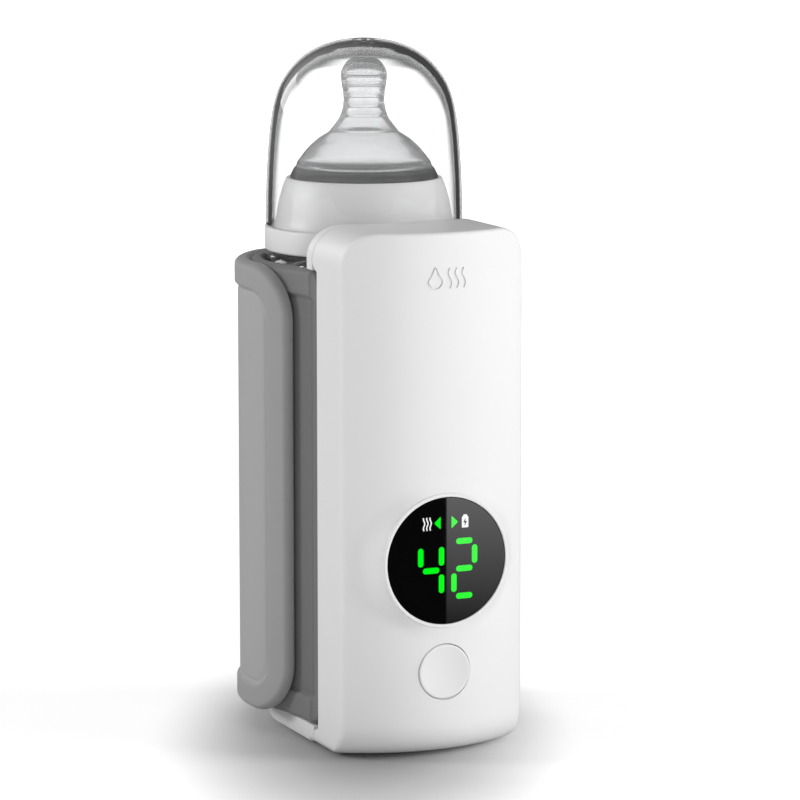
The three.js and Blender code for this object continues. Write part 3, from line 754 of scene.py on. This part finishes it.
def digit_outlines(digit, centre_x, centre_z):
    """The lit bars of a seven-segment digit, slightly apart, with round ends."""
    half_width, half_height, stroke_width, across, low, high = 3.5, 8.6, 1.85, 1.85, 2.3, 6.3
    bars = {
        "top": (-across, half_height, across, half_height),
        "middle": (-across, 0, across, 0),
        "bottom": (-across, -half_height, across, -half_height),
        "upper_left": (-half_width, low, -half_width, high),
        "upper_right": (half_width, low, half_width, high),
        "lower_left": (-half_width, -high, -half_width, -low),
        "lower_right": (half_width, -high, half_width, -low),
    }
    lit = {
        4: ("upper_left", "upper_right", "middle", "lower_right"),
        2: ("top", "upper_right", "middle", "lower_left", "bottom"),
    }[digit]
    outlines = []
    for bar in lit:
        x0, z0, x1, z1 = bars[bar]
        outlines.append(stadium(centre_x + x0, centre_z + z0, centre_x + x1, centre_z + z1, stroke_width))
    return outlines


def make_signs():
    digit_z = -2.8
    sign("display_digits", digit_outlines(4, -5.2, digit_z) + digit_outlines(2, 6.0, digit_z), GREEN_LIGHT)
    row_z = 11.95
    arrows = []
    for centre, way in ((-3.1, -1), (2.75, 1)):
        arrow = [(centre - way * 1.1, row_z + 2, 0.4), (centre + way * 1.1, row_z, 0.4),
                 (centre - way * 1.1, row_z - 2, 0.4)]
        arrows.append(rounded_profile(arrow, steps=3))
    sign("display_arrows", arrows, GREEN_LIGHT)
    heat = []
    for wave_x in (-7.6, -6.5, -5.4):
        wave = [(wave_x - 0.24 * math.sin(k * math.pi / 4), row_z - 2.1 + 0.37 * k) for k in range(12)]
        heat.append(stroke(wave, 0.42 * MM))
    low, high = row_z - 2.0, row_z + 1.35
    case = rounded_profile([(5.15, low, 0.2), (7.35, low, 0.2), (7.35, high, 0.5), (6.85, high + 0.4, 0.1),
                            (6.85, high + 0.75, 0.2), (5.65, high + 0.75, 0.2), (5.65, high + 0.4, 0.1),
                            (5.15, high, 0.5)], steps=3)
    sign("display_symbols", heat + [case], WHITE_LIGHT)
    bolt = [(6.4, row_z + 1.05), (5.6, row_z - 0.4), (6.15, row_z - 0.4), (6.0, row_z - 1.6),
            (6.9, row_z - 0.05), (6.35, row_z - 0.05)]
    outline = [(x * MM, z * MM + LENS_Z) for x, z in bolt]
    piece = mesh_object("display_bolt", *prism(outline, SIGN_FRONT - 0.02 * MM, SIGN_REAR, 1), degrees=30)
    dress(piece, LENS, "lens_black", "housing")


def make_button():
    rim, radius, dish = -BUTTON_Y / MM, BUTTON_RADIUS / MM, 1.0
    profile = [(0, 56.2), (10.3, 56.2), (10.3, 57.2), (radius, 57.2), (radius, rim - 0.5)]
    profile += [(radius - 0.08, rim - 0.22), (radius - 0.25, rim - 0.06), (radius - 0.5, rim)]
    for k in range(1, 17):
        r = (radius - 0.5) * (1 - k / 16)
        profile.append((r, rim - dish * (1 - (r / (radius - 0.5)) ** 2)))
    piece = mesh_object("power_button_cap", *turned([(r * MM, h * MM) for r, h in profile], 128, BUTTON_Z))
    return dress(piece, WHITE, "shell_white", "power_button", "power_button")


# ---------- Sleeve ----------

def ring_point(radius, degrees):
    angle = math.radians(degrees)
    return (-radius * math.sin(angle), -radius * math.cos(angle))


def distance_along(points):
    return np.concatenate([[0], np.cumsum(np.hypot(*np.diff(points[:, :2], axis=0).T))])


def sample(at, along, values):
    return np.stack([np.interp(at, along, column) for column in values.T], -1)


def plan_path(stations, spacing=0.4 * MM, window=9):
    """Stations (x, y, half thickness) in millimetres become an even, softened path in metres."""
    points = np.array(stations, float) * MM
    lengths = distance_along(points)
    s = np.linspace(0, lengths[-1], int(lengths[-1] / spacing) + 1)
    even = sample(s, lengths, points)
    padded_path = np.concatenate([np.repeat(even[:1], window, 0), even, np.repeat(even[-1:], window, 0)])
    kernel = np.hanning(2 * window + 1)
    kernel /= kernel.sum()
    soft = np.stack([np.convolve(padded_path[:, k], kernel, "valid") for k in range(3)], -1)
    soft[0], soft[-1] = even[0], even[-1]
    return distance_along(soft), soft


BORDER_STEPS = [0, 0.03, 0.12, 0.28, 0.5, 0.8, 1.15, 1.6, 2.1, 2.8, 3.7, 4.8, 5.9, 6.9, 7.5, 7.9, 8.2, 8.5,
                8.8, 9.1, 9.5, 10.1, 11, 12.3, 14, 16, 18.5]
MIDDLE_ROWS = 26


def band_relief(distance):
    """A raised border band with a soft groove on its inner side, then a faintly crowned panel."""
    band = BAND_HEIGHT * (1 - smoothstep(BAND - 0.9 * MM, BAND + 0.5 * MM, distance))
    groove = -0.35 * MM * np.exp(-np.square((distance - BAND - 0.75 * MM) / (0.5 * MM)))
    return band + groove


def round_drop(radius, into_corner):
    """How far a corner's round edge has dropped, at a distance past where its curve begins."""
    return radius - np.sqrt(np.maximum(radius ** 2 - into_corner ** 2, 0))


def sleeve_columns(length):
    """Distances along a layer, closer together at the welt and towards the layer's end."""
    end_steps = np.array([step for step in BORDER_STEPS if step * MM < length / 3]) * MM
    middle = np.arange(1.2 * MM, length - end_steps[-1] - 0.5 * MM, 1.1 * MM)
    welt_steps = WELT_AT + np.array([-0.9, -0.5, -0.25, 0, 0.25, 0.5, 0.9]) * MM
    return np.unique(np.concatenate([[0], middle, welt_steps, length - end_steps[::-1]]))


def sleeve_heights(bottom, top):
    """A row of heights for each column, closer together towards both edges."""
    border = np.array(BORDER_STEPS) * MM
    rows = []
    for low, high in zip(bottom, top):
        span = min(1.0, 0.49 * (high - low) / border[-1])
        inner = np.linspace(low + border[-1] * span, high - border[-1] * span, MIDDLE_ROWS + 2)[1:-1]
        rows.append(np.concatenate([low + border * span, inner, high - border[::-1] * span]))
    return np.array(rows)


def border_distance(s, z, bottom, top, length, free_corner):
    """How far each point is from the layer's border: its long edges, and its end where that is free."""
    distance = np.minimum(z - bottom[:, None], top[:, None] - z)
    if free_corner:
        past = s - (length - free_corner)
        above = z - (SLEEVE_HIGH - free_corner)
        below = (SLEEVE_LOW + free_corner) - z
        straight = (past > 0) & (above < 0) & (below < 0)
        distance = np.where(straight, np.minimum(distance, length - s), distance)
        for beyond in (above, below):
            in_corner = (past > 0) & (beyond > 0)
            distance = np.where(in_corner, free_corner - np.hypot(past, beyond), distance)
    return np.maximum(distance, 0)


def patch_step(y, z, on_left):
    """How far the surface steps in under the closure patch, which is on the left side only."""
    soft = 1.2 * MM
    step = PATCH_THICKNESS * on_left
    for low, high, value in ((loop_low.y, loop_high.y, y), (loop_low.z, loop_high.z, z)):
        step = step * smoothstep(low - soft, low, value) * (1 - smoothstep(high, high + soft, value))
    return step


def sleeve_layer(name, stations, turn_out, free_corner, patch_outside):
    """A soft layer along a path in plan. turn_out is 1 or -1, the side of the path that faces outwards.
    Where the closure patch lies, the surface steps in by the patch's thickness, outside or inside."""
    along, path = plan_path(stations)
    length = along[-1]
    columns = sleeve_columns(length)
    sampled = sample(columns, along, path)
    centre, half = sampled[:, :2], sampled[:, 2:]
    tangent = unit(np.stack([np.gradient(path[:, k], along) for k in range(2)], -1))
    direction = unit(sample(columns, along, tangent))
    outwards = np.stack([direction[:, 1], -direction[:, 0]], -1) * turn_out
    drop = round_drop(SLOT_CORNER, np.maximum(SLOT_CORNER - columns, 0))
    if free_corner:
        drop = drop + round_drop(free_corner, np.maximum(columns - (length - free_corner), 0))
    bottom = SLEEVE_LOW + drop
    top = SLEEVE_HIGH - drop
    z = sleeve_heights(bottom, top)
    s = np.repeat(columns[:, None], z.shape[1], 1)
    distance = border_distance(s, z, bottom, top, length, free_corner)
    rim = distance if free_corner else np.minimum(distance, length - s)
    fullness = rolled_edge(rim / half)
    welt = WELT_HEIGHT * np.exp(-np.square((s - WELT_AT) / (0.4 * MM)))
    relief = band_relief(distance) * smoothstep(1.2 * MM, 5 * MM, s) + welt
    outer_offset = fullness * (half + relief)
    inner_offset = -fullness * half
    step = patch_step(centre[:, 1:], z, centre[:, :1] < 0)
    if patch_outside:
        outer_offset = outer_offset - step
    else:
        inner_offset = inner_offset + step
    surfaces = []
    for offset in (outer_offset, inner_offset):
        xy = centre[:, None, :] + outwards[:, None, :] * offset[:, :, None]
        surfaces.append(np.concatenate([xy, z[:, :, None]], -1).reshape(-1, 3))
    last = z.shape[1] - 1
    faces = two_sided_faces(*z.shape) + [(j, j + 1, j + 1 + z.size, j + z.size) for j in range(last)]
    band = (1 - smoothstep(BAND - 0.6 * MM, BAND + 0.4 * MM, distance)).ravel()
    band = np.concatenate([band, band * 0])
    return mesh_object(name, np.concatenate(surfaces), faces, degrees=60, band=band)


def make_sleeve():
    strip = [(29.05, -34.2, 1.45), (29.05, -30, 1.45), (29.15, -26, 1.5), (29.75, -20, 1.8)]
    left_strip = [(-x, y, half) for x, y, half in strip]
    inner_ring = [(*ring_point(WRAP_RADIUS, a), 2.2) for a in np.arange(66, 128.1, 2)]
    inner = sleeve_layer("sleeve_inner_layer_soft", left_strip + inner_ring, -1, 0, True)
    dress(inner, SLEEVE_INNER_SHADED, "sleeve_grey", None, "sleeve_inner_end", "sleeve_inner_layer")
    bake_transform(inner)
    outer_ring = [(*ring_point(WRAP_RADIUS, a), 2.2) for a in np.arange(294, 166, -2)]
    for a in np.arange(165, FREE_EDGE_ANGLE - 0.1, -2):
        share = float(smoothstep(0, 28, 165 - a))
        thin = max(0, (69 - a) / 10)
        outer_ring.append((*ring_point(WRAP_RADIUS + 4.65 * share + 0.5 * thin, a), 2.15 - 0.5 * thin))
    outer = sleeve_layer("sleeve_outer_layer_soft", strip + outer_ring, 1, FLAP_CORNER, False)
    dress(outer, SLEEVE, "sleeve_grey", None, "sleeve_outer_panel", "sleeve_flap")
    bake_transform(outer)


def make_contact_pad():
    """The soft pad in the saddle: its back follows the film, its front the bottle, with a rolled edge."""
    half, low, high = pad_high.x, pad_low.z, pad_high.z
    near_edge = [0, 0.1, 0.3, 0.6, 1, 1.5, 2.2, 3]
    x, z = np.meshgrid(edge_dense(-half, half, near_edge, 18), edge_dense(low, high, near_edge, 60))
    distance = np.minimum(half - np.abs(x), np.minimum(z - low, high - z))
    back = saddle_y(x, -0.4 * MM)
    hollow = -np.sqrt(PAD_HOLLOW_RADIUS ** 2 - np.square(x))
    front = back + (hollow - back) * rolled_edge(distance / (1.4 * MM))
    rib_pitch = 8 * MM
    ribs = 0.12 * MM * np.cos(z * 2 * math.pi / rib_pitch) * smoothstep(1 * MM, 3 * MM, distance)
    outer = np.stack([x, front - 0.15 * MM * (distance > 0) + ribs * 0.8, z], -1).reshape(-1, 3)
    rear = np.stack([x, back, z], -1).reshape(-1, 3)
    vertices = np.concatenate([outer, rear])
    piece = mesh_object("contact_pad_soft", vertices, two_sided_faces(*x.shape), degrees=50)
    dress(piece, SLEEVE, "sleeve_grey", "housing", "contact_pad")


# ---------- Bottle ----------

def helix_ridge(root, tip, start, turns, pitch):
    """A screw-thread ridge that fades in and out at its ends. Millimetres."""
    steps = int(turns * 96)
    rows = []
    for i in range(steps + 1):
        angle = 2 * math.pi * turns * i / steps
        height = min(1.0, i / 12, (steps - i) / 12)
        z = start + pitch * angle / (2 * math.pi)
        section = []
        for k in range(9):
            t = math.pi * k / 8
            r = root + (tip - root) * (math.sin(t) ** 0.7) * height
            section.append((r * math.cos(angle) * MM, r * math.sin(angle) * MM, (z - 0.8 * math.cos(t)) * MM))
        rows.append(section)
    vertices = [v for row in rows for v in row]
    return vertices, grid_faces(len(rows), 9)


def make_bottle():
    outside = rounded_profile([
        (0, 7.7, 0), (22, 7.4, 3), (25.5, 6.5, 1.5), (30.8, 6.5, 4.5), (30.8, 151.5, 5.5), (23.2, 152.6, 1.4),
        (23.2, 169.1, 0.9), (20.8, 169.1, 0.9),
    ], closed=False, steps=8)
    inside = rounded_profile([
        (20.8, 169.1, 0), (20.8, 150.2, 2), (28.4, 147.5, 5), (28.4, 10.9, 5), (0, 10.9, 0),
    ], closed=False, steps=8)
    body = turned(outside[:-1] + inside, 160)
    with_thread = combine([body, helix_ridge(23.1, 24.4, 156.5, 1.3, 4.5)])
    piece = mesh_object("bottle_glass_clear", *with_thread, degrees=45)
    return let_light_through(dress(piece, GLASS, "clear_glass", "bottle", "glass_bottle"))


def inwards(outline):
    """Unit vectors that point inwards from a turned piece's outline, which runs up to its crown."""
    tangent = unit(np.gradient(outline, axis=0))
    return np.stack([-tangent[:, 1], tangent[:, 0]], -1)


def make_teat():
    """A silicone teat: a smooth outside, soft rings moulded into its neck, and two steps near its foot."""
    bulb = smooth_curve([
        (23.6, 176.1), (22.9, 177.6), (22.4, 178.6), (21.7, 179.3), (21.3, 180.6), (20.6, 181.5),
        (18.2, 184.6), (15.0, 187.6), (12.4, 189.3), (11.0, 190.2), (10.6, 190.9), (10.1, 191.5),
        (9.2, 192.6), (8.2, 194), (7.3, 196), (6.8, 198), (6.5, 200.2), (6.65, 203), (7.05, 205.5),
        (7.35, 207.7), (7.2, 209.6), (6.5, 211.4), (5.2, 212.9), (3.4, 213.8), (1.6, 214.1), (0.6, 214.1),
    ], per_span=7)
    foot = rounded_profile([(22.2, 169.5, 0), (24.4, 169.5, 0.4), (24.4, 172.1, 0.4), (23.8, 172.1, 0.3),
                            (23.6, 176.1, 0)], closed=False, steps=3)
    outside = np.array(bulb)
    wall, ring_height, ring_width = 1.15, 0.35 * MM, 0.45 * MM
    inner = outside + inwards(outside) * wall * MM
    for ring_z in (208.6, 205.9, 202.4, 198.9, 195.6):
        inner[:, 0] -= ring_height * np.exp(-np.square((inner[:, 1] - ring_z * MM) / ring_width))
    neck = [tuple(point) for point in inner[::-1] if point[0] > 0.9 * MM and point[1] > 193 * MM]
    bulb_inside = smooth_curve([
        (8.8, 191.2), (11, 188.8), (14.5, 186.1), (17.4, 183.4), (19.6, 180.8), (20.0, 179.4), (21.2, 178),
        (21.8, 176.2), (22.2, 172), (22.2, 169.5),
    ], per_span=5)
    inside = [(0.6 * MM, 212.95 * MM)] + neck + list(bulb_inside)
    profile = foot[:-1] + list(bulb) + list(inside)
    piece = mesh_object("teat_clear", *turned(profile, 160), degrees=60)
    return let_light_through(dress(piece, SILICONE, "clear_silicone", "teat", "teat"))


def make_collar():
    dome_side = smooth_curve([(28.65, 160.5), (28.55, 161.4), (28.0, 163.5), (27.3, 167.7), (26.4, 171.2),
                              (25.6, 173.8), (24.95, 175.3)], per_span=4)
    ring = rounded_profile([(24.8, 152.9, 0.3), (31.7, 152.9, 0.9), (31.7, 160.5, 0.7), (28.65, 160.5, 0)],
                           closed=False, steps=5)
    lip = rounded_profile([(24.95, 175.3, 0), (24.6, 175.85, 0.3), (24.05, 175.8, 0.25), (24.05, 172.4, 0.2),
                           (24.8, 172.4, 0), (24.8, 152.9, 0)], closed=False, steps=4)
    profile = ring[:-1] + list(dome_side)[:-1] + lip
    grips = combine([turned(profile, 192), helix_ridge(24.9, 23.7, 154.25, 1.0, 4.5)])
    piece = mesh_object("screw_collar_white", *grips, degrees=40)
    return dress(piece, CAP_WHITE_SHADED, "shell_white", "collar", "screw_collar")


def make_dome():
    outside_points = [(31.3, 161.4), (31.3, 164), (31.2, 168.3), (30.95, 176), (30.45, 184.2), (29.8, 191.5),
                      (28.7, 198.4), (27, 204), (24.6, 208.3), (21.2, 212.4), (17.3, 215.4), (13.25, 217.4),
                      (9, 218.75), (4.5, 219.5), (0, 219.7)]
    outside = smooth_curve(outside_points, per_span=5)
    points = np.array(outside)
    wall = (1.9 + 0.6 * smoothstep(195 * MM, 219 * MM, points[:, 1:])) * MM
    inside = points + inwards(points) * wall
    inside[-1] = (0, points[-1][1] - wall[-1, 0])
    inside[0] = (points[0][0] - wall[0, 0], points[0][1])
    foot = rounded_profile([(29.4, 161.4, 0), (29.4, 160.8, 0.5), (31.3, 160.8, 0.5), (31.3, 161.4, 0)],
                           closed=False, steps=4)
    profile = foot[:-1] + outside + [tuple(p) for p in inside[::-1]]
    piece = mesh_object("dome_cap_clear", *turned(profile, 160), degrees=60)
    return let_light_through(dress(piece, CLEAR_PLASTIC, "clear_plastic", "dome_cap", "dome_cap"))


# ---------- CAD pieces that stay, with better finishes ----------

KEPT_FINISHES = (
    (STEEL, ("screw_low_left", "screw_low_right", "screw_high_left", "screw_high_right", "usb_c_socket",
             "nickel_strap_top", "nickel_strap_bottom", "temperature_sensor")),
    (RUBBER, ("foot_pad_front", "foot_pad_rear")),
    (PALE, ("display_module", "heater_lead", "clamp_strip_left", "clamp_strip_right")),
    (BOARD, ("display_board", "main_board", "protection_board")),
    (BLACK, ("switch_plunger", "push_switch", "cell_holder")),
    (CELL, ("battery_cell_left", "battery_cell_right")),
    (RED, ("battery_lead",)),
    (AMBER, ("heating_film",)),
    (TEXTILE, ("loop_patch", "hook_patch")),
)


def finish_cad_nodes():
    for finish, names in KEPT_FINISHES:
        for name in names:
            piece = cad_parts[name]
            piece.data.materials.clear()
            piece.data.materials.append(finish)


# ---------- Stage ----------

FLOOR_GLOW = 0.52
FLOOR_DROP = 0.0002
SHADOW_STRETCH = (2.1, 1, 1)
SHADOW_CENTRE = (0, -0.03, 0)
LIGHT_REACH = 1.4
CARD_DISTANCE = 1.0
CARD_SIZE = 0.06


def softbox(name, around, up, size, power):
    """A square softbox aimed at the object. around is counted in degrees from the front, to the left."""
    data = bpy.data.lights.new(name, "AREA")
    data.energy = power
    data.size = size
    light = bpy.data.objects.new(name, data)
    bpy.context.scene.collection.objects.link(light)
    around, up = math.radians(around), math.radians(up)
    away = Vector((-math.sin(around) * math.cos(up), -math.cos(around) * math.cos(up), math.sin(up)))
    light.location = Vector((0, 0, 0.1)) + away * LIGHT_REACH
    light.rotation_mode = "QUATERNION"
    light.rotation_quaternion = (-away).to_track_quat("-Z", "Y")
    light.visible_transmission = False
    return light


def brightest(tree, *values):
    result = values[0]
    for value in values[1:]:
        result = node(tree, "Math", "Value", {0: result, 1: value}, operation="MAXIMUM")
    return result


def product(tree, first, second):
    return node(tree, "Math", "Value", {0: first, 1: second}, operation="MULTIPLY")


def vector_math(tree, operation, output, first, second):
    return node(tree, "VectorMath", output, {0: first, 1: second}, operation=operation)


def make_backdrop(view_angle):
    """A pale floor, turned to face the camera, that sweeps up into a brighter wall behind the object.
    Its colour and glow are painted darker close round the object, a painted contact shadow. Seen through
    clear pieces, the sides behind the object fade to dark, which draws their edges."""
    reach, wall, bend, height = 2.5, 1.4, 0.3, 0.5
    profile = [(-reach, 0.0), (wall - bend, 0.0)]
    for t in np.linspace(0.1, math.pi / 2, 12):
        profile.append((wall - bend + bend * math.sin(t), bend * (1 - math.cos(t))))
    profile.append((wall, height))
    vertices = [(side, depth, z - FLOOR_DROP) for side in (-reach, reach) for depth, z in profile]
    floor = mesh_object("studio_floor", vertices, grid_faces(2, len(profile)), degrees=80)
    floor.rotation_euler.z = view_angle
    made, tree, inputs = shader("studio_white", Roughness=0.9, Specular_IOR_Level=0.0,
                                Emission_Color=(1, 1, 1, 1))
    place = node(tree, "TexCoord", "Object")
    depth = node(tree, "SeparateXYZ", "Y", {"Vector": place})
    across = vector_math(tree, "MULTIPLY", "Vector", place, (1, 0, 1))
    aside = vector_math(tree, "DISTANCE", "Value", across, (0, 0, 0))
    stretched = vector_math(tree, "MULTIPLY", "Vector", place, SHADOW_STRETCH)
    away = vector_math(tree, "DISTANCE", "Value", stretched, SHADOW_CENTRE)
    # Painted shadow: the floor's glow is held down close round the object.
    around = soft_ramp(tree, away, 0.072, 0.15, 0, FLOOR_GLOW)
    behind = soft_ramp(tree, depth, 0.1, 0.7, 0, 0.8)
    far = soft_ramp(tree, away, 0.5, 1.3, 0, 1)
    held_back = even_ramp(tree, node(tree, "LightPath", "Is Diffuse Ray"), 1, 0.2)
    glow = product(tree, brightest(tree, around, behind, far), held_back)
    dark_sides = soft_ramp(tree, aside, 0.3, 0.45, 1, 0.04)
    near_side = soft_ramp(tree, depth, 0.05, 0.4, 1, 0)
    shown = brightest(tree, dark_sides, near_side, node(tree, "LightPath", "Is Camera Ray"))
    # Painted contact shadow: the floor's colour is darker close round the object.
    shadowed = soft_ramp(tree, away, 0.02, 0.095, 0.34, 0.8)
    feed(tree, inputs["Emission Strength"], product(tree, glow, shown))
    feed(tree, inputs["Base Color"], product(tree, shadowed, shown))
    floor.data.materials.append(made)
    floor.visible_glossy = False


def make_reflection_card():
    """A softbox that only mirrors see, so that the lens shows its straight edge down the middle."""
    camera = bpy.context.scene.camera.location
    lens = Vector((0, LENS_Y, LENS_Z))
    ray = (lens - camera).normalized()
    bounced = Vector((ray.x, -ray.y, ray.z))
    centre = lens + bounced * CARD_DISTANCE
    across = Vector((-bounced.y, bounced.x, 0)).normalized() * CARD_SIZE
    up = across.cross(bounced).normalized() * CARD_SIZE
    corners = [centre - up, centre + across - up, centre + across + up, centre + up]
    card = mesh_object("studio_card", corners, [(0, 1, 2, 3)])
    made, tree, inputs = shader("card_light", Base_Color=(0, 0, 0, 1), Emission_Color=(1, 1, 1, 1))
    height = node(tree, "SeparateXYZ", "Z", {"Vector": node(tree, "TexCoord", "Object")})
    upwards = soft_ramp(tree, height, centre.z - 0.04, centre.z + 0.04, 0.1, 2.9, "LINEAR")
    feed(tree, inputs["Emission Strength"], upwards)
    card.data.materials.append(made)
    card.visible_camera = False
    card.visible_diffuse = False
    card.visible_transmission = False
    card.visible_shadow = False


def light_the_surroundings(world, view_angle):
    """Even light for matt surfaces and a white sky behind the stage. Shiny pieces, and clear ones seen from
    the front, see a dim room that is paler on the left and dark below. From behind, clear ones see white."""
    tree = world.node_tree
    direction = node(tree, "TexCoord", "Generated")
    left_to_right = node(tree, "SeparateXYZ", "X", {"Vector": direction})
    up = node(tree, "SeparateXYZ", "Z", {"Vector": direction})
    room = product(tree, soft_ramp(tree, left_to_right, -0.9, 0.6, 0.5, 0.06),
                   soft_ramp(tree, up, -0.14, -0.02, 0.06, 1))
    ahead = (math.sin(view_angle), math.cos(view_angle), 0)
    forward = vector_math(tree, "DOT_PRODUCT", "Value", direction, ahead)
    matt = product(tree, node(tree, "LightPath", "Is Diffuse Ray"), 0.26)
    through = product(tree, node(tree, "LightPath", "Is Transmission Ray"),
                      soft_ramp(tree, forward, -0.05, 0.25, 0.9, 0))
    background = tree.nodes["Background"].inputs
    background["Color"].default_value = (1, 1, 1, 1)
    strength = brightest(tree, room, matt, through, node(tree, "LightPath", "Is Camera Ray"))
    feed(tree, background["Strength"], strength)


def make_stage():
    scene = bpy.context.scene
    data = bpy.data.cameras.new("camera")
    data.lens = 176.3
    data.sensor_width = 36
    data.clip_end = 20
    camera = bpy.data.objects.new("camera", data)
    scene.collection.objects.link(camera)
    camera.location = (-0.4902, -1.1407, 0.3013)
    camera.rotation_mode = "QUATERNION"
    target = Vector((-0.0109, -0.0531, 0.1121))
    camera.rotation_quaternion = (target - camera.location).to_track_quat("-Z", "Y")
    scene.camera = camera
    world = bpy.data.worlds.new("studio")
    world.use_nodes = True
    view_angle = math.atan2(-camera.location.x, -camera.location.y)
    light_the_surroundings(world, view_angle)
    scene.world = world
    scene.view_settings.view_transform = "Standard"
    make_backdrop(-view_angle)
    make_reflection_card()
    key = softbox("key_right", -55, 16, 0.7, 11.4)
    key.visible_glossy = False
    front = softbox("front_low", 0, 3, 0.7, 5.9)
    front.visible_glossy = False
    softbox("side_left", 112, 20, 0.35, 6.8)
    softbox("rear_left", 150, 20, 0.5, 2.5)


make_stage()
make_front_shell()
make_back_shell()
make_lens()
make_signs()
make_button()
make_sleeve()
make_contact_pad()
make_bottle()
make_teat()
make_collar()
make_dome()
finish_cad_nodes()
